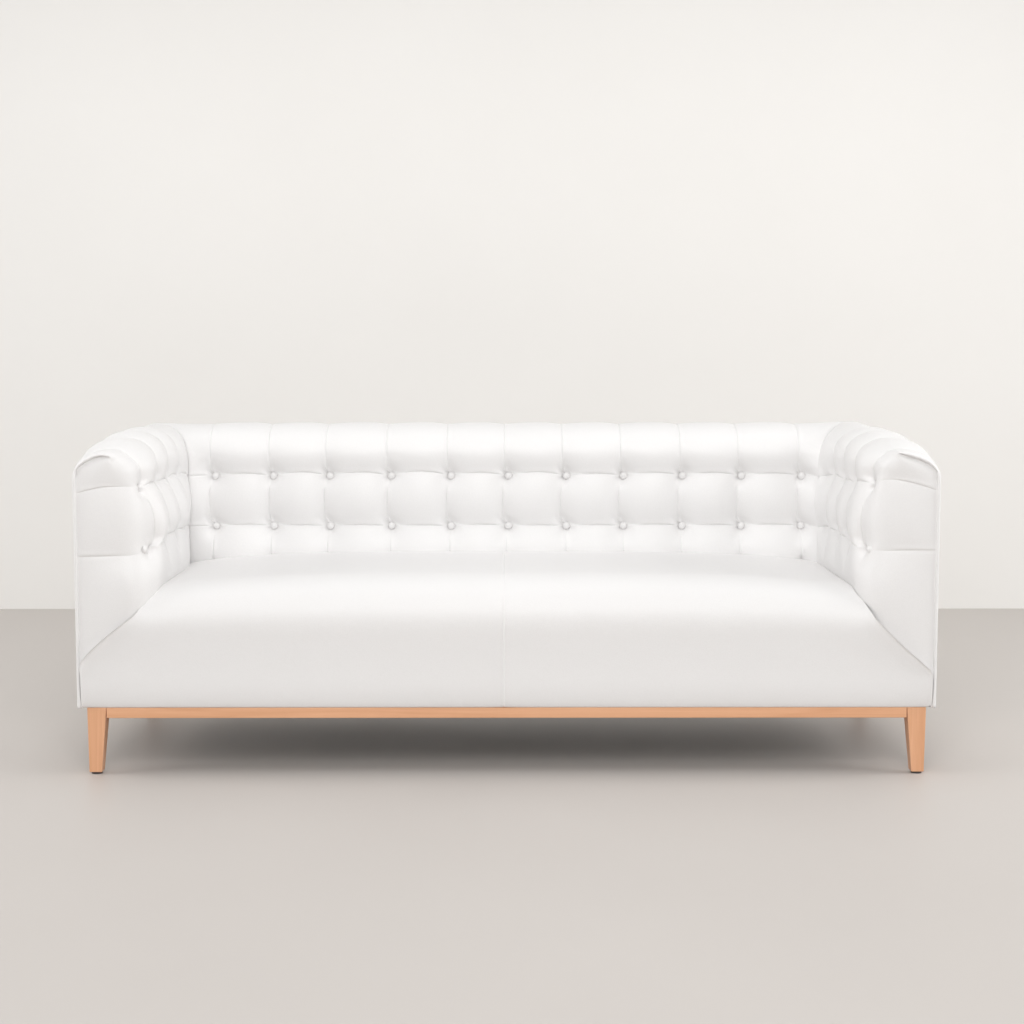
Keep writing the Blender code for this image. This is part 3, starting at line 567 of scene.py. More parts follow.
def spaced(points, shares):
    """Places at those shares of the length of a line through the points."""
    points = np.asarray(points, float)
    length = lengths(points)
    places = np.asarray(shares) * length[-1]
    return np.stack([np.interp(places, length, line) for line in points.T], axis=-1)


def arm_heights(hand, u, t, e_line, rows_t, row_lines, seams, column_u, wide, top_line):
    """How far the cover swells out or is drawn in by its buttons, pleats, rows and edges."""
    cover = Tufting(u, t, row_lines)
    cover.heights[0, :] = -0.003
    cover.heights[-1, :] = mitre_height(t, e_line, rows_t, hand)
    for number, i in enumerate(seams[1:-1]):
        cover.column(i, 1.0, 0.22, 0.35 * (number > 0))
    front_fold = np.interp(u, [-0.025, 0.0, column_u[0] - 0.012, column_u[0]], [0.8, 0.12, 0.12, 0.8])
    for k, j in enumerate(row_lines):
        cover.row(j, 0, seams[1], 0.0, 0.003, (False, True), front_fold)
        for left, right in zip(seams[1:], seams[2:]):
            arch = ARM_ROW_ARCHES[k] * rng.uniform(0.6, 1.3)
            cover.row(j, left, right, arch, ARM_ROW_DEPTHS[k], (True, right < len(u) - 1))
    for i in seams[1:-1]:
        for j in row_lines:
            cover.button(i, j, 0.008, 0.55)
    cover.held[0, :] = cover.held[-1, :] = True
    cover.held[:, 0] = cover.held[:, -1] = True
    cover.heights[:, 0] = -0.012 + 0.010 * np.clip(1 - u / 0.04, 0, 1)
    cover.heights[:, -1] = -0.001
    cover.held[wide, top_line + wide :] = True
    cover.heights[wide, top_line + wide :] = 0.0
    top_share = np.clip((t - rows_t[1] - 0.03) / 0.06, 0, 1)[None, :]
    front_share = np.clip(1 - u / 0.07, 0, 1)[:, None]
    near_seat = (1 - 0.6 * np.clip(1 - t / rows_t[0], 0, 1) ** 0.5)[None, :]
    load = ARM_PUFF[hand] + (TOP_PUFF - ARM_PUFF[hand]) * top_share
    load = load * near_seat * (1 - front_share) + FRONT_PUFF * front_share
    heights = cover.solve(load) + seam_roll(u[-1] - u)[:, None]
    below_crest = np.clip(1 - (t[top_line] - t[: top_line + 1]) / 0.04, 0, 1) ** 2
    for k in range(wide + 1):
        gap = heights[wide, top_line + k] - heights[wide - k, top_line]
        heights[wide - k, : top_line + 1] += gap * below_crest
    return cover, heights


def front_contour(hand, face, t, rows_t, top_t, row_lines, e_line, z_line, normal, drawn_in):
    """The outline of the front face: the section drawn in, then round its shoulder, then the dart."""
    front_x = e_line * ARM_WIDTH - normal[0] * drawn_in
    front_z = z_line - ARM_TOP_SLOPE * top_squash(e_line, z_line) - normal[1] * drawn_in
    dart_start = int(np.searchsorted(t, top_t[1] - 1e-9))
    widen = 1 + (ARM_FACE - face) / ARM_WIDTH
    dart = [((x - face) / widen, z) for x, z in DARTS[hand]]
    dart_line = spaced(dart, (t[dart_start:] - t[dart_start]) / (t[-1] - t[dart_start]))
    front_x[dart_start:], front_z[dart_start:] = dart_line.T
    shoulder = slice(row_lines[1], dart_start)
    last_turn = math.acos((SHOULDER_X - dart[0][0]) / SHOULDER_REACH)
    turn = (t[shoulder] - rows_t[1]) / (top_t[1] - rows_t[1]) * last_turn
    front_x[shoulder] = SHOULDER_X - SHOULDER_REACH * np.cos(turn)
    front_z[shoulder] = UPPER_ROW + (dart[0][1] - UPPER_ROW) * np.sin(turn) / math.sin(last_turn)
    return front_x, front_z


def top_squash(e_line, z_line):
    """How much of the fall of the arm's top towards its front a height takes part in."""
    foot = np.where(e_line < 0.5, UPPER_ROW, PANEL_TOP)
    return np.clip((z_line - foot) / (HEIGHT - foot), 0, 1)


def front_face(hand, face, contour, row_lines, top_line, wide, w):
    """The front face, from its inner contour to the welt, in three patches between its seams."""
    diagonal = np.array(DIAGONALS[hand])
    inner = contour[: top_line + 1].copy()
    low, high = row_lines
    foot_z = float(np.interp(face + contour[0, 0], diagonal[:, 0], diagonal[:, 1])) - SEAM_ALLOWANCE
    lifted = inner[low, 1] - inner[0, 1]
    inner[: low + 1, 1] = foot_z + (inner[: low + 1, 1] - inner[0, 1]) / lifted * (inner[low, 1] - foot_z)
    ends = SEAM_ENDS[hand]
    outer_foot = (FRONT_EDGE, float(diagonal[-1, 1]) - SEAM_ALLOWANCE)
    shoulder = [(FRONT_EDGE, ends[1]), (FRONT_EDGE, PANEL_TOP)]
    down_the_dart = contour[: top_line + wide - 1 : -1]
    shoulder.extend(tuple(point) for point in down_the_dart if point[1] > PANEL_TOP + 0.003)

    def run(points, start, end):
        length = lengths(inner[start : end + 1])
        return spaced(points, length / length[-1])

    outer = np.concatenate(
        [
            run([outer_foot, (FRONT_EDGE, ends[0])], 0, low)[:-1],
            run([(FRONT_EDGE, ends[0]), (FRONT_EDGE, ends[1])], low, high)[:-1],
            run(shoulder, high, top_line),
        ]
    )
    bottom = (1 - w)[:, None] * inner[0] + w[:, None] * outer[0]
    seam_lines = []
    for j, arch in zip(row_lines, SEAM_ARCHES[hand]):
        seam = (1 - w)[:, None] * inner[j] + w[:, None] * outer[j]
        seam[:, 1] += arch * np.sin(np.pi * np.clip(w, 0, 1)) * (1 - 0.5 * w)
        seam_lines.append(seam)
    crest = contour[top_line : top_line + wide + 1].copy()
    crest += np.linspace(0, 1, wide + 1)[:, None] * (outer[-1] - crest[-1])
    patches = [
        coons(inner[: low + 1], outer[: low + 1], bottom, seam_lines[0])[:, :-1],
        coons(inner[low : high + 1], outer[low : high + 1], *seam_lines)[:, :-1],
        coons(inner[high:], outer[high:], seam_lines[1], crest),
    ]
    return np.concatenate(patches, axis=1), inner


def fold_in(points, wide, top_line, high):
    """Tucks the front face behind the fold of the dart, and gives the fold's turned-in edge."""
    lip = points[wide, top_line + wide :].copy()
    lip_in = lip.copy()
    lip_in[:, 1] += 0.012
    lip_in[:, 2] -= 0.004 * np.clip(np.arange(len(lip)) / 6, 0, 1)
    front = points[: wide + 1, : top_line + 1]
    from_dart = np.linalg.norm(front[:, :, None, ::2] - lip[None, None, ::2, ::2], axis=-1).min(axis=-1)
    from_start = np.abs(front[..., 0] - lip[0, 0])
    tucked = hump(from_dart, 0.006) * np.clip(from_start / 0.012, 0, 1)
    front[..., 1] += 0.008 * tucked * (np.arange(top_line + 1) > high)[None, :]
    return lip_in


def join_at_crest(points, lip_in, wide, top_line, side):
    """Points and faces of an arm: the front face is sewn to the top along the crest."""
    count, rows = points.shape[:2]
    numbers = np.arange(count * rows).reshape(count, rows)
    merge = {int(numbers[wide - k, top_line]): int(numbers[wide, top_line + k]) for k in range(1, wide + 1)}
    faces = []
    for i in range(count - 1):
        for j in range(rows - 1):
            if i >= wide or j < top_line:
                quad = [numbers[i, j], numbers[i + 1, j], numbers[i + 1, j + 1], numbers[i, j + 1]]
                faces.append([merge.get(int(n), int(n)) for n in quad])
    lip = [int(n) for n in numbers[wide, top_line + wide :]]
    for k in range(len(lip) - 1):
        turned_in = count * rows + k
        faces.append([turned_in, lip[k], lip[k + 1], turned_in + 1])
    if side > 0:
        faces = [quad[::-1] for quad in faces]
    flat_points = np.concatenate([points.reshape(-1, 3), lip_in])
    used = sorted({n for quad in faces for n in quad})
    new_number = {n: k for k, n in enumerate(used)}
    return flat_points[used].tolist(), [[new_number[n] for n in quad] for quad in faces]


def arm_cover(hand, side):
    face = ARM_FACES[hand]

    # grid lines: u runs from the welt across the front and along the arm, t up and over the top
    path_u, path_depth, path_inset = around_front()
    column_u = [float(np.interp(depth, path_depth, path_u)) for depth in ARM_COLUMNS]
    reach_u = float(path_u[-1])
    front_width = FRONT_EDGE - FRONT_INNER_EDGE
    lines = list(graded(-front_width, 0.0, True, False, 0.010))
    wide = len(lines) - 1
    seams = [0]
    for number, (start, end) in enumerate(zip([0.0, *column_u], [*column_u, reach_u])):
        lines.extend(graded(start, end, number > 0, True)[1:])
        seams.append(len(lines) - 1)
    u = np.array(lines)
    depth = np.interp(u, path_u, path_depth)
    inset = np.interp(u, path_u, path_inset)
    along, share, rise = section(ARM_WIDTH, COVER_FOOT)
    half = len(rise) // 2
    rows_t = [float(np.interp(row, rise[:half], along[:half])) for row in (LOWER_ROW, UPPER_ROW)]
    top_t = [float(np.interp(e, share[1:-1], along[1:-1])) for e in (TOP_START, TOP_ENDS[hand])]
    t = list(graded(0.0, rows_t[0], False, True))
    row_lines = [len(t) - 1]
    t.extend(graded(rows_t[0], rows_t[1])[1:])
    row_lines.append(len(t) - 1)
    low, high = row_lines
    t.extend(graded(rows_t[1], top_t[0], True, False)[1:])
    top_line = len(t) - 1
    t.extend(np.linspace(top_t[0], top_t[1], wide + 1)[1:])
    t.extend(graded(top_t[1], float(along[-1]), False, False)[1:])
    t = np.array(t)
    e_line = np.interp(t, along, share)
    z_line = np.interp(t, along, rise)
    cover, heights = arm_heights(hand, u, t, e_line, rows_t, row_lines, seams, column_u, wide, top_line)

    # the section of the arm, rounded at its shoulders and falling towards the front
    normal = np.stack([-np.gradient(z_line, t), np.gradient(e_line * ARM_WIDTH, t)])
    normal /= np.hypot(*normal)
    inner_shoulder = np.clip((z_line - UPPER_ROW - 0.013) / 0.07, 0, 1)
    shoulders = 0.018 * hump(e_line - 0.16, 0.20) * inner_shoulder
    shoulders += 0.004 * hump(e_line - 0.85, 0.22) * np.clip((z_line - 0.745) / 0.03, 0, 1)
    end_depth = ARM_LENGTH + e_line * BACK_THICKNESS
    last_u, last_depth = column_u[-1], ARM_COLUMNS[-1]
    beyond = np.clip((u - last_u) / (reach_u - last_u), 0, 1)[:, None]
    to_mitre = last_depth + beyond * (end_depth[None, :] - last_depth)
    depth_grid = np.where(beyond > 0, to_mitre, depth[:, None])
    rounded = shoulders[None, :] * np.clip(1 - depth_grid / 0.22, 0, 1) ** 1.3
    slope = ARM_TOP_SLOPE * np.clip(1 - depth_grid / 0.400, 0, 1) ** 2
    across = (e_line * ARM_WIDTH)[None, :] - normal[0] * rounded
    upward = z_line[None, :] - normal[1] * rounded - slope * top_squash(e_line, z_line)
    drawn_in = shoulders + front_roll(e_line, z_line)
    contour = front_contour(hand, face, t, rows_t, top_t, row_lines, e_line, z_line, normal, drawn_in)
    at_first = front_lean(hand, depth_grid, z_line[None, :])
    across = across + at_first * (1 - np.clip(e_line / 0.35, 0, 1))[None, :] ** 2
    across = across + inset[:, None] * (contour[0] - across)
    upward = upward + inset[:, None] * (contour[1] - upward)

    # the lower half of the inner face swells towards the seat
    swell = arm_belly(hand, depth_grid, z_line[None, :])
    across = across - swell * (e_line < 0.01)[None, :]
    upward = upward + cover.lift * (e_line < 0.02)[None, :]

    # the rows leave their level along the arm and run into the seams of the front face
    for j, row_heights in zip(row_lines, ARM_ROWS[hand]):
        move = np.interp(depth_grid, ARM_MARKS, row_heights) - z_line[j]
        reach = np.where((t > t[j]) & (j == high), 0.100, 0.050)
        upward = upward + move * hump(t - t[j], reach)[None, :]

    # the front face leans back a little towards its inner edge and its crest
    contour = np.stack([across[wide], upward[wide]], axis=-1)
    w = (u[wide] - u[: wide + 1][::-1]) / front_width
    patch, inner = front_face(hand, face, contour, row_lines, top_line, wide, w)
    across[: wide + 1, : top_line + 1] = patch[::-1, :, 0]
    upward[: wide + 1, : top_line + 1] = patch[::-1, :, 1]
    depth_grid[: wide + 1, : top_line + 1] = 0.0
    above_row = np.clip((t - rows_t[1]) / (t[top_line] - rows_t[1]), 0, 1)
    above_row = (above_row * above_row * (3 - 2 * above_row))[None, :]
    to_edge = np.clip((t - t[top_line]) / (t[top_line + wide] + 0.02 - t[top_line]), 0, 1)
    from_seat = 0.25 + 0.75 * np.clip(t / rows_t[0], 0, 1)
    leaning = 0.012 * hump(u - 0.045, 0.085)[:, None] * from_seat[None, :]
    crest_lean = leaning[wide, top_line] * (1 - to_edge[top_line : top_line + wide + 1][::-1])[:, None]
    depth_grid -= 0.55 * depth_grid * hump(depth_grid, 0.045) * above_row * (u >= 0)[:, None]
    depth_grid[wide:] += leaning[wide:] * (1 - to_edge)[None, :]
    front_lean_back = leaning[:wide] * (1 - above_row) + crest_lean[:wide] * above_row
    depth_grid[:wide, : top_line + 1] += front_lean_back[:, : top_line + 1]
    near_front = np.clip(1 - depth_grid[:, : low + 1] / 0.10, 0, 1) * (u > 0)[:, None]
    drop = (inner[: low + 1, 1] - contour[: low + 1, 1])[None, :]
    upward[:, : low + 1] += near_front**2 * drop

    # at its far end the arm meets the back in the mitre
    level = facing_share(t, e_line, z_line, ARM_WIDTH)
    depth_grid -= beyond**3 * heights[[-1], :] * level * BACK_THICKNESS / ARM_WIDTH
    across += beyond**3 * (ARM_FACE - face) * np.clip(1 - across / ARM_WIDTH, 0, 1)
    x_grid = -(face + across) - (ARM_FACE - face) * (across / ARM_WIDTH)
    grid = np.stack([x_grid, FRONT + depth_grid, upward], axis=-1)

    # the skin stands off its padding by the heights found, and its pleats slide over each other
    facing = outward(grid)
    if facing[wide // 2, low, 1] > 0:
        facing = -facing
    over_top = outward(grid[:, top_line:])
    facing[:, top_line:] = over_top * np.sign((facing[wide + 5, low] * outward(grid)[wide + 5, low]).sum())
    along_u = np.gradient(grid, axis=0)
    along_u /= np.maximum(np.linalg.norm(along_u, axis=2, keepdims=True), 1e-9)
    points = grid + facing * heights[..., None] + along_u * cover.slide[..., None]
    points[..., 1] -= cover.shift * np.clip((u - 0.02) / 0.05, 0, 1)[:, None]
    if side > 0:
        points[..., 0] *= -1
    lip_in = fold_in(points, wide, top_line, high)

    mesh = bpy.data.meshes.new(f"{hand}_arm_cover")
    flat_points, faces = join_at_crest(points, lip_in, wide, top_line, side)
    mesh.from_pydata(flat_points, [], faces)
    made = placed(f"{hand}_arm_cover", mesh, leather, 1)
    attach(made, "root")
    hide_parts(f"{hand}_arm_pad")


arm_cover("left", -1)
arm_cover("right", 1)

# Covered buttons
# 38 domed buttons, each covered in the same hide and drawn down into its well by twine. They sit
# a little askew, as hand-tied buttons do.
DOME = [(0.0, 0.0062), (0.0035, 0.0059), (0.0065, 0.0048), (0.0088, 0.0028), (0.0105, 0.0), (0.0095, -0.0030)]
BUTTON_SIDES = 20


def covered_buttons(name, places, normal, pad):
    """One mesh of the buttons at those places, each tilted a little off the normal."""
    bm = bmesh.new()
    for place in places:
        tilt = Vector([rng.uniform(-0.10, 0.10) for _ in range(3)])
        up = (Vector(normal) + tilt).normalized()
        turn = up.to_track_quat("Z", "Y").to_matrix()
        rings = []
        for radius, height in DOME:
            count = 1 if radius == 0.0 else BUTTON_SIDES
            ring = []
            for k in range(count):
                angle = 2 * math.pi * k / count
                local = Vector((radius * math.cos(angle), radius * math.sin(angle), height))
                ring.append(bm.verts.new(Vector(place) + turn @ local))
            rings.append(ring)
        for k in range(BUTTON_SIDES):
            after = (k + 1) % BUTTON_SIDES
            bm.faces.new((rings[0][0], rings[1][k], rings[1][after]))
            for near, far in zip(rings[1:], rings[2:]):
                bm.faces.new((near[k], far[k], far[after], near[after]))
    mesh = bpy.data.meshes.new(name)
    bm.to_mesh(mesh)
    bm.free()
    made = placed(name, mesh, leather)
    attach(made, "root")
    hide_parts(pad)


back_places = []
for x in BACK_COLUMNS:
    for z in (LOWER_ROW, UPPER_ROW):
        back_places.append((x, BACK_FACE + BUTTON_DEPTH - 0.001, z))
covered_buttons("back_buttons", back_places, (0.0, -1.0, 0.0), "back_pad")
for hand, side in (("left", -1), ("right", 1)):
    arm_places = []
    for depth in ARM_COLUMNS:
        inset = 1 - math.sin(math.acos(1 - min(1.0, depth / FRONT_REACH)))
        for heights in ARM_ROWS[hand]:
            z = float(np.interp(depth, ARM_MARKS, heights))
            swell = float(arm_belly(hand, depth, z))
            sunk = inset * float(front_roll(0.0, z)) - swell + BUTTON_DEPTH - 0.001
            sunk += (1 - inset) * float(front_lean(hand, depth, z))
            arm_places.append((side * (ARM_FACES[hand] + sunk), FRONT + depth, z))
    covered_buttons(f"{hand}_arm_buttons", arm_places, (-side, -0.15, 0.0), f"{hand}_arm_pad")

# Seat
# The seat is one tight piece: a crowned pad whose cover is drawn down behind, along the arms and
# along the slanting seams of the arm fronts, and rolls over the front edge down to the wooden
# base. Two hides meet in a fine seam down its middle.
SEAT_EDGE_HEIGHT = 0.458
SEAT_CROWN = 0.030
SEAT_CROWN_POWER = 4.2
SEAT_FRONT_DEPTH = 0.120
SEAT_FRONT_FOOT = 0.353
COVER_BOTTOM = 0.167
SEAT_SEAM_X = -0.008
SEAT_OUTER_EDGE = 1.0432
SEAT_FACES = {"left": 0.879, "right": 0.863}
SEAT_EDGE_ROUNDING = 0.011
CORNER_ROUNDING = {"left": 0.0005, "right": 0.006}


def seat_profile():
    """The seat from behind to below: depth behind the front, height at its edge, share of crown."""
    behind = [(0.600, 0.407), (0.600, 0.425), (0.599, 0.439), (0.595, 0.450), (0.587, 0.4565)]
    rows = [(*place, 1.0) for place in (*behind, (0.577, SEAT_EDGE_HEIGHT))]
    for depth in np.linspace(0.565, SEAT_FRONT_DEPTH, 38):
        rows.append((depth, SEAT_EDGE_HEIGHT, 1.0))
    power = 2 / 2.2
    for turn in np.linspace(0.0, math.pi / 2, 19)[1:]:
        rise = math.cos(turn) ** power
        depth = SEAT_FRONT_DEPTH * (1 - math.sin(turn) ** power)
        rows.append((depth, SEAT_FRONT_FOOT + rise * (SEAT_EDGE_HEIGHT - SEAT_FRONT_FOOT), rise))
    for height in np.linspace(SEAT_FRONT_FOOT, 0.235, 11)[1:]:
        rows.append((0.0, height, 0.0))
    for turn in np.linspace(0.0, 1.25, 9)[1:]:
        rows.append((0.016 * (1 - math.cos(turn)), 0.235 - 0.068 * math.sin(turn) / math.sin(1.25), 0.0))
    rows.append((0.018, 0.1655, 0.0))
    rows.append((0.030, 0.1670, 0.0))
    return np.array(rows)


profile = seat_profile()
profile_facing = np.stack([np.gradient(profile[:, 1]), -np.gradient(profile[:, 0])], axis=-1)
profile_facing /= np.linalg.norm(profile_facing, axis=1, keepdims=True)
edges = {}
for hand in ("left", "right"):
    line = np.array(DIAGONALS[hand])[::-1]
    edge = np.interp(profile[:, 1], line[:, 1], line[:, 0])
    edge = np.where(profile[:, 1] > 0.4465, SEAT_FACES[hand], edge)
    edge = np.minimum(edge, SEAT_OUTER_EDGE)
    corner = np.clip((0.183 - profile[:, 1]) / 0.016, 0, 1)
    edges[hand] = edge - CORNER_ROUNDING[hand] * (1 - np.sqrt(1 - corner**2))
near_edge = np.array([0.0, 0.0015, 0.0035, 0.006, 0.0095, 0.014, 0.021, 0.030])
near_seam = np.array([0.0008, 0.0018, 0.0032, 0.0055, 0.010, 0.018])
seat_columns = []
for row in range(len(profile)):
    left, right = -edges["left"][row], edges["right"][row]
    to_seam = np.linspace(left + near_edge[-1], SEAT_SEAM_X - near_seam[-1], 52)[1:-1]
    from_seam = np.linspace(SEAT_SEAM_X + near_seam[-1], right - near_edge[-1], 52)[1:-1]
    at_seam = [SEAT_SEAM_X - near_seam[::-1], [SEAT_SEAM_X], SEAT_SEAM_X + near_seam]
    parts = [left + near_edge, to_seam, *at_seam, from_seam, right - near_edge[::-1]]
    seat_columns.append(np.concatenate(parts))
seat_x = np.array(seat_columns).T
depth, side_height, crown_share = profile.T
crown = SEAT_CROWN * (1 - np.clip(np.abs(seat_x) / 0.875, 0, 1) ** SEAT_CROWN_POWER)
seat_z = side_height[None, :] + crown * crown_share[None, :]
seat_y = np.broadcast_to(FRONT + depth, seat_x.shape).copy()
from_edge = np.minimum(seat_x + edges["left"][None, :], edges["right"][None, :] - seat_x)
turned_in = 1 - np.sqrt(1 - np.clip(1 - from_edge / SEAT_EDGE_ROUNDING, 0, 1) ** 2)
sunk = 0.009 * turned_in + 0.003 * hump(from_edge, 0.030)
outer_part = np.clip((0.269 - side_height) / 0.02, 0, 1)[None, :]
sunk = sunk * (1 - 0.8 * outer_part)
beside_seam = seat_x - SEAT_SEAM_X
seam = 0.0012 * hump(beside_seam, 0.0014) - 0.0004 * hump(np.abs(beside_seam) - 0.004, 0.002)
sunk = sunk + (seam + 0.0010 * hump(beside_seam, 0.020))
up_front = np.clip((side_height - COVER_BOTTOM) / (SEAT_FRONT_FOOT + 0.04 - COVER_BOTTOM), 0, 1)
belly = 0.004 * np.sin(np.pi * up_front)[None, :]
sunk = sunk - belly * np.clip(from_edge / 0.15, 0, 1)
seat_y += profile_facing[None, :, 0] * sunk
seat_z -= profile_facing[None, :, 1] * sunk
seat_points = np.stack([seat_x, seat_y, seat_z], axis=-1)
seat_cover = skin("seat_cover", seat_points, leather)
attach(seat_cover, "root")
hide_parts("seat_pad")

# Outside panels
# A plain hide over thin padding closes the outside of each arm and the back. It is tacked under
# the roll above and blind-stitched down the corners, so that its edges turn in softly. The back
# is wider than a hide and has one seam down its middle.
PANEL_ROUNDING = 0.007
PANEL_TUCK = 0.0115


def panel_lines(length, seam):
    """Places across a panel, close together at its edges and beside its seam."""
    edge = np.array([0.0, 0.0, 0.0012, 0.003, 0.0055, 0.009, 0.015, 0.024, 0.038])
    if not seam:
        inner = np.linspace(edge[-1], length - edge[-1], 16)[1:-1]
        return np.concatenate([edge, inner, length - edge[::-1]])
    near = np.array([0.0008, 0.002, 0.004, 0.008, 0.018])
    middle = length / 2
    first = np.linspace(edge[-1], middle - near[-1], 20)[1:-1]
    second = np.linspace(middle + near[-1], length - edge[-1], 20)[1:-1]
    around = [middle - near[::-1], [middle], middle + near]
    return np.concatenate([edge, first, *around, second, length - edge[::-1]])


def outside_panel(name, node, corner, along, up, out, crown, seam=False):
    """A thinly padded panel from its lower corner, along and up, with its edges turned in."""
    corner, along, up, out = (np.array(vector, float) for vector in (corner, along, up, out))
    width, height = np.linalg.norm(along), np.linalg.norm(up)
    a, b = panel_lines(width, seam), panel_lines(height, False)
    out_of_face = np.zeros((len(a), len(b)))
    for places, length, axis in ((a, width, 0), (b, height, 1)):
        to_edge = np.minimum(places, length - places)
        towards_edge = np.clip(1 - to_edge / PANEL_ROUNDING, 0, 1)
        turned_in = PANEL_ROUNDING * (1 - np.sqrt(1 - towards_edge**2))
        turned_in[[0, -1]] = PANEL_TUCK
        out_of_face -= np.expand_dims(turned_in, 1 - axis)
    out_of_face = np.maximum(out_of_face, -PANEL_TUCK)
    over_a, over_b = (1 - np.abs(2 * c / size - 1) ** 3 for c, size in ((a, width), (b, height)))
    bulge = over_a[:, None] * over_b[None, :]
    out_of_face += crown * bulge
    out_of_face += 0.0006 * bulge * np.sin(9 * a + 1)[:, None] * np.sin(13 * b + 2)[None, :]
    if seam:
        beside = (a - width / 2)[:, None]
        out_of_face -= 0.0024 * hump(beside, 0.0014) + 0.0016 * hump(beside, 0.012)
    points = corner + (a / width)[:, None, None] * along + (b / height)[None, :, None] * up
    points = points + out_of_face[..., None] * out
    made = skin(name, points, leather, flip=float(np.cross(along, up) @ out) < 0)
    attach(made, "root")
    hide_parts(node)


PANEL_FRONT = FRONT + 0.0083
PANEL_REAR = 0.3877
PANEL_RISE = (0.0, 0.0, PANEL_TOP - COVER_BOTTOM)
for hand, side in (("left", -1), ("right", 1)):
    outside_panel(
        f"{hand}_side_cover",
        f"{hand}_outside_panel",
        (side * SIDE, PANEL_FRONT, COVER_BOTTOM),
        (0.0, PANEL_REAR - PANEL_FRONT, 0.0),
        PANEL_RISE,
        (side, 0.0, 0.0),
        0.005,
    )
outside_panel(
    "back_outside_cover",
    "back_outside_panel",
    (-SIDE, -FRONT, COVER_BOTTOM),
    (2 * SIDE, 0.0, 0.0),
    PANEL_RISE,
    (0.0, 1.0, 0.0),
    0.004,
    True,
)

# Welts
# A cord covered in a strip of the hide is sewn into the outer edge of each arm front. It runs from
# the bottom of the cover up to the dart, where its end is turned in under the fold.


def piping(name, node, path, radius):
    """A covered cord along a path, a little uneven and drawn thin at its end."""
    path = np.array(path, float)
    length = lengths(path)
    steps = np.linspace(0, length[-1], 90)
    line = np.stack([np.interp(steps, length, path[:, k]) for k in range(3)], axis=-1)
    forward = np.gradient(line, axis=0)
    forward /= np.linalg.norm(forward, axis=1, keepdims=True)
    across = np.cross(forward, np.broadcast_to([0.0, 1.0, 0.0], forward.shape))
    across /= np.linalg.norm(across, axis=1, keepdims=True)
    over = np.cross(forward, across)
    size = radius * np.where(np.arange(len(steps)) == len(steps) - 1, 0.4, 1.0)
    size = size * (1 + 0.03 * np.sin(steps * 160))
    angles = np.linspace(0, 2 * math.pi, 13)[:-1]
    rings = line[:, None] + size[:, None, None] * (
        np.cos(angles)[None, :, None] * across[:, None] + np.sin(angles)[None, :, None] * over[:, None]
    )
    count = len(angles)
    faces = [tuple(range(count)), tuple((len(steps) - 1) * count + k for k in reversed(range(count)))]
    for ring in range(len(steps) - 1):
        for k in range(count):
            near, after = ring * count + k, ring * count + (k + 1) % count
            faces.append((near, near + count, after + count, after))
    mesh = bpy.data.meshes.new(name)
    mesh.from_pydata(rings.reshape(-1, 3).tolist(), [], faces)
    made = placed(name, mesh, leather)
    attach(made, "root")
    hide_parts(node)


for hand, side in (("left", -1), ("right", 1)):
    welt_path = [
        (side * 1.0462, FRONT + 0.0028, COVER_BOTTOM + 0.0005),
        (side * 1.0462, FRONT + 0.0028, PANEL_TOP - 0.004),
        (side * 1.0455, FRONT + 0.0045, PANEL_TOP + 0.008),
        (side * 1.0430, FRONT + 0.0090, PANEL_TOP + 0.016),
        (side * 1.0390, FRONT + 0.0160, PANEL_TOP + 0.021),
    ]
    piping(f"{hand}_welt", f"{hand}_arm_welt", welt_path, 0.0043)

# Woods
# The base and legs are solid beech under a satin orange-tan lacquer, each piece with its grain
# along its length and its edges eased and a little paler with wear. The frame is bare softwood.
wood, where, wood_out, wood_in = start_group(
    "wood", {"Grain": "Vector", "Pale": "Color", "Deep": "Color", "Worn": "Color", "Gloss": "Float"}
)
pale, deep = wood_in["Pale"], wood_in["Deep"]
stretched = add_node(wood, "ShaderNodeVectorMath", {0: where, 1: wood_in["Grain"]}, operation="MULTIPLY")
figure = noise(wood, stretched.outputs["Vector"], 1.0, 5.0, 0.55, 0.8)
fibres = noise(wood, stretched.outputs["Vector"], 4.5, 3.0, 0.6)
patches = noise(wood, where, 5.0, 2.0)
figured = blend_colours(wood, spread_range(wood, figure, 0.34, 0.66, 0.0, 1.0), deep, pale)
fibred = blend_colours(wood, spread_range(wood, fibres, 0.30, 0.80, 0.0, 0.35), figured, deep)
mottled = blend_colours(wood, spread_range(wood, patches, 0.35, 0.75, 0.0, 0.30), fibred, pale)
eased = add_node(wood, "ShaderNodeBevel", {"Radius": 0.0016}, samples=4).outputs["Normal"]
sharp = add_node(wood, "ShaderNodeNewGeometry").outputs["Normal"]
on_edge = add_node(wood, "ShaderNodeVectorMath", {0: eased, 1: sharp}, operation="DOT_PRODUCT")
edge = spread_range(wood, on_edge.outputs["Value"], 0.995, 0.90, 0.0, 0.45)
worn = blend_colours(wood, edge, mottled, wood_in["Worn"])
gloss = add_node(wood, "ShaderNodeMath", {0: fibres, 1: 0.16, 2: wood_in["Gloss"]}, operation="MULTIPLY_ADD")
fibre_relief = bump(wood, fibres, 0.0004, 0.25, eased)
feed(wood, wood_out, {"Colour": worn, "Roughness": gloss.outputs["Value"], "Normal": fibre_relief})
GRAINS = {"across": (2.2, 60.0, 60.0), "deep": (60.0, 2.2, 60.0), "upright": (60.0, 60.0, 2.2)}
LACQUER = [(0.82, 0.455, 0.265), (0.70, 0.355, 0.190), (0.86, 0.58, 0.40)], 0.30, 0.5
SOFTWOOD = [(0.66, 0.52, 0.36), (0.52, 0.37, 0.23), (0.70, 0.58, 0.42)], 0.62, 0.3
lacquered, bare = {}, {}
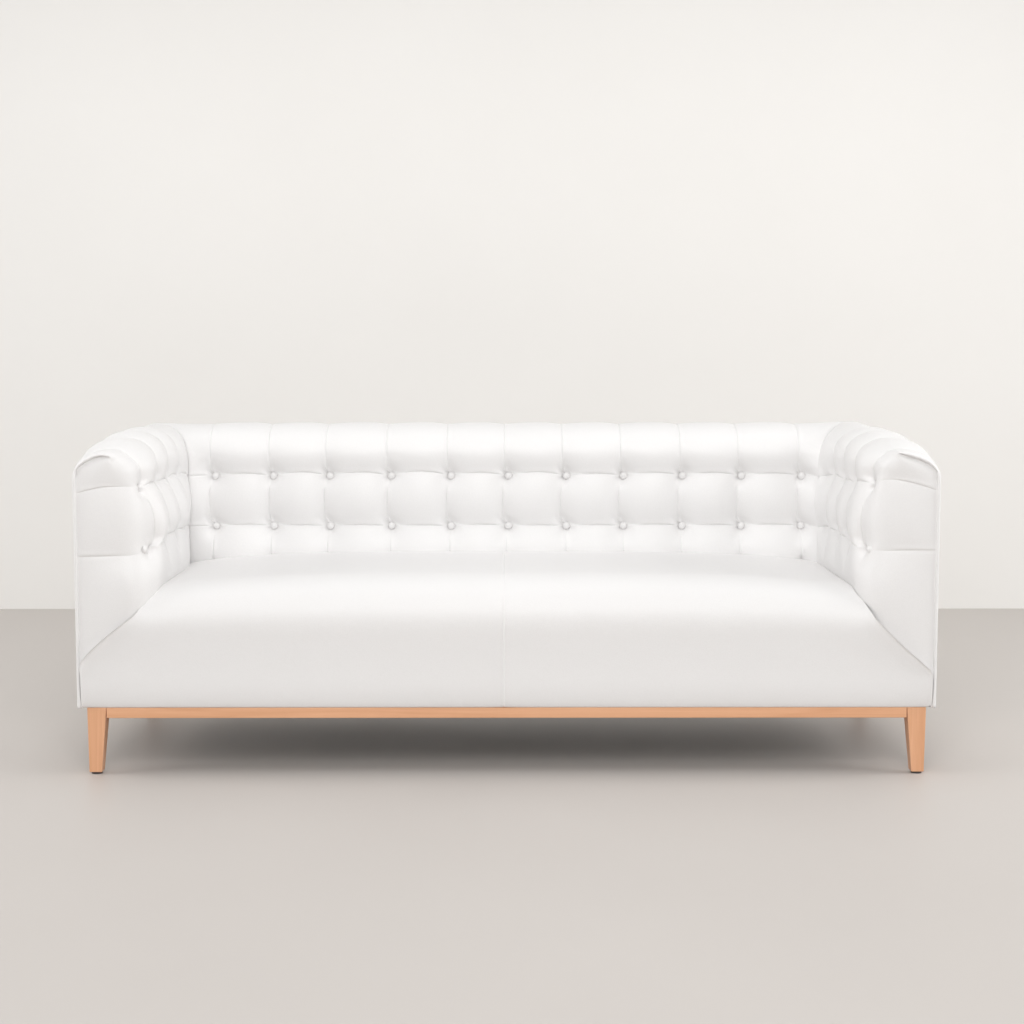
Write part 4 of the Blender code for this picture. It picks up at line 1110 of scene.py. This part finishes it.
for finishes, name, (tones, gloss, specular) in (
    (lacquered, "lacquered_beech", LACQUER),
    (bare, "bare_softwood", SOFTWOOD),
):
    for way, grain in GRAINS.items():
        values = {tone: (*colour, 1.0) for tone, colour in zip(("Pale", "Deep", "Worn"), tones)}
        values.update({"Grain": grain, "Gloss": gloss})
        finishes[way] = material(f"{name}_{way}", wood, values, specular)

# Inner materials
# Under the cover there are fibreboard liners, zigzag springs of drawn steel wire, a needled felt
# deck over them and black non-woven cloth below. The feet stand on dark plastic glides.
fleck, where, fleck_out, fleck_in = start_group(
    "fleck", {"Size": "Float", "Ground": "Color", "Fleck": "Color", "Smooth": "Float", "Relief": "Float"}
)
spots = spread_range(fleck, noise(fleck, where, fleck_in["Size"], 5.0, 0.65), 0.38, 0.66, 0.0, 1.0)
wear = {0: spots, 1: 0.14, 2: fleck_in["Smooth"]}
rough = add_node(fleck, "ShaderNodeMath", wear, operation="MULTIPLY_ADD")
dappled = blend_colours(fleck, spots, fleck_in["Ground"], fleck_in["Fleck"])
raised = bump(fleck, spots, fleck_in["Relief"], 0.6)
feed(fleck, fleck_out, {"Colour": dappled, "Roughness": rough.outputs["Value"], "Normal": raised})


def flecked(name, size, ground, spot, smooth, relief, specular=0.4, metallic=0.0):
    colours = {"Ground": (*ground, 1.0), "Fleck": (*spot, 1.0)}
    values = {"Size": size, "Smooth": smooth, "Relief": relief, **colours}
    return material(name, fleck, values, specular, metallic)


fibreboard = flecked("fibreboard", 240.0, (0.40, 0.29, 0.18), (0.52, 0.40, 0.26), 0.72, 0.0004)
wire = flecked("spring_wire", 500.0, (0.36, 0.37, 0.39), (0.52, 0.53, 0.55), 0.26, 0.00005, metallic=1.0)
felt = flecked("needled_felt", 160.0, (0.72, 0.70, 0.66), (0.84, 0.83, 0.80), 0.84, 0.0010, specular=0.2)
dust_cloth = flecked(
    "non_woven_cloth", 420.0, (0.035, 0.035, 0.036), (0.075, 0.074, 0.073), 0.80, 0.0004, specular=0.2
)
glide_plastic = flecked("glide_plastic", 300.0, (0.045, 0.040, 0.038), (0.075, 0.066, 0.062), 0.48, 0.0001)
for name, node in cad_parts.items():
    way = "across"
    if name.startswith(("left_", "right_", "centre_")):
        way = "deep"
    if name.endswith(("_leg", "_post", "_corner_block")):
        way = "upright"
    finish = None
    if name.endswith(("_leg", "_base_rail")):
        finish = lacquered[way]
    elif name.endswith(("_rail", "_post", "_corner_block")):
        finish = bare[way]
    elif name.endswith("_liner"):
        finish = fibreboard
    elif name.startswith("seat_spring"):
        finish = wire
    elif name == "seat_deck":
        finish = felt
    elif name.endswith("_glide"):
        finish = glide_plastic
    if finish:
        for node_slot in node.material_slots:
            node_slot.material = finish

# Dust cover
# Black non-woven cloth is stapled round the underside of the frame and hangs slack between the
# rails by a few millimetres, with faint ripples that run in from the staples.
dust_low, dust_high = (Vector(corner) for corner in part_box("dust_cover"))
dust_x = np.linspace(dust_low.x, dust_high.x, 121)
dust_y = np.linspace(dust_low.y, dust_high.y, 49)
share_x = np.linspace(0, 1, 121)[:, None]
share_y = np.linspace(0, 1, 49)[None, :]
slack = np.minimum(1, 9 * share_x * (1 - share_x)) * np.sin(np.pi * share_y)
ripple = np.sin(75 * share_x) * np.exp(-np.minimum(share_y, 1 - share_y) / 0.08)
ripple = ripple * np.minimum(1, 40 * share_y * (1 - share_y))
dust_z = 0.0006 + dust_low.z - 0.006 * slack - 0.0008 * ripple
dust_points = np.stack(np.broadcast_arrays(dust_x[:, None], dust_y[None, :], dust_z), axis=-1)
dust_cover = skin("dust_cloth", dust_points, dust_cloth, flip=True, levels=0)
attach(dust_cover, "root")
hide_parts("dust_cover")

# Studio
# A plain pale floor meets a plain off-white wall behind the sofa. The wall is see-through from
# behind, so that the sofa's back can be looked at. The light is soft and comes from large sources
# in front, above and on both sides, the right one stronger; a faint one brightens the wall.


def mottled_surface(name, mottle, colours, gloss, grain, relief, specular):
    """A plain building surface: a wide soft mottle in its colour and gloss, and a low relief."""
    tree, where, end, _ = start_group(name)
    tone = noise(tree, where, *mottle)
    colour = blend_colours(tree, tone, *colours)
    rough = spread_range(tree, tone, 0.3, 0.7, *gloss)
    raised = bump(tree, noise(tree, where, *grain), *relief)
    feed(tree, end, {"Colour": colour, "Roughness": rough, "Normal": raised})
    return material(f"pale_{name}", tree, specular=specular)


FLOOR_COLOURS = (0.555, 0.520, 0.490), (0.595, 0.560, 0.530)
WALL_COLOURS = (0.800, 0.785, 0.760), (0.830, 0.818, 0.795)
floor_material = mottled_surface(
    "floor", (1.2, 3.0), FLOOR_COLOURS, (0.45, 0.55), (30.0, 4.0), (0.001, 0.05), 0.4
)
wall_material = mottled_surface(
    "wall", (1.6, 4.0), WALL_COLOURS, (0.82, 0.92), (22.0, 5.0), (0.002, 0.10), 0.2
)
backdrop = wall_material.node_tree
from_behind = add_node(backdrop, "ShaderNodeNewGeometry").outputs["Backfacing"]
plastered = backdrop.nodes["Principled BSDF"].outputs["BSDF"]
clear = add_node(backdrop, "ShaderNodeBsdfTransparent").outputs["BSDF"]
two_sided = add_node(backdrop, "ShaderNodeMixShader", {"Fac": from_behind, 1: plastered, 2: clear})
feed(backdrop, backdrop.nodes["Material Output"], {"Surface": two_sided.outputs["Shader"]})
WALL_Y = 2.40
for name, finish, near, far in (
    ("floor", floor_material, (-8, 0), (WALL_Y, 0)),
    ("wall", wall_material, (WALL_Y, 0), (WALL_Y, 6)),
):
    mesh = bpy.data.meshes.new(name)
    mesh.from_pydata([(-9, *near), (9, *near), (9, *far), (-9, *far)], [], [(0, 1, 2, 3)])
    mesh.materials.append(finish)
    ground = bpy.data.objects.new(name, mesh)
    bpy.context.scene.collection.objects.link(ground)

# the room's own light is dim, but straight or in a reflection its air looks as pale as the wall
world = bpy.data.worlds.new("studio")
world.use_nodes = True
air = world.node_tree
room_light = air.nodes["Background"]
feed(air, room_light, {"Color": (1.0, 0.99, 0.98, 1.0), "Strength": 0.29})
rays = add_node(air, "ShaderNodeLightPath").outputs
seen_rays = {0: rays["Is Camera Ray"], 1: rays["Is Glossy Ray"]}
seen = add_node(air, "ShaderNodeMath", seen_rays, operation="MAXIMUM").outputs["Value"]
pale_air = add_node(air, "ShaderNodeBackground", {"Color": (0.86, 0.845, 0.82, 1.0)})
both = {"Fac": seen, 1: room_light.outputs["Background"], 2: pale_air.outputs["Background"]}
either = add_node(air, "ShaderNodeMixShader", both).outputs["Shader"]
feed(air, air.nodes["World Output"], {"Surface": either})
bpy.context.scene.world = world
bpy.context.scene.view_settings.view_transform = "Standard"


def lamp(name, place, aim, size, power, length=None, spread=180.0):
    light = bpy.data.lights.new(name, "AREA")
    light.size = size
    if length:
        light.shape = "RECTANGLE"
        light.size_y = length
    light.energy = power
    light.spread = math.radians(spread)
    made = bpy.data.objects.new(name, light)
    made.location = place
    made.rotation_euler = (Vector(aim) - Vector(place)).to_track_quat("-Z", "Y").to_euler()
    bpy.context.scene.collection.objects.link(made)


lamp("overhead", (0.0, -0.7, 3.3), (0.0, -0.1, 0.4), 4.5, 37.0, length=2.4)
lamp("background", (0.0, 0.9, 3.4), (0.0, 2.4, 1.4), 5.0, 4.5, length=0.8, spread=70.0)
lamp("front", (0.0, -5.1, 3.1), (0.0, 0.0, 0.4), 3.0, 150.0)
lamp("right", (4.2, -0.6, 1.9), (0.0, -0.1, 0.6), 2.2, 76.0)
lamp("left", (-4.2, -0.6, 1.9), (0.0, -0.1, 0.6), 2.2, 57.0)
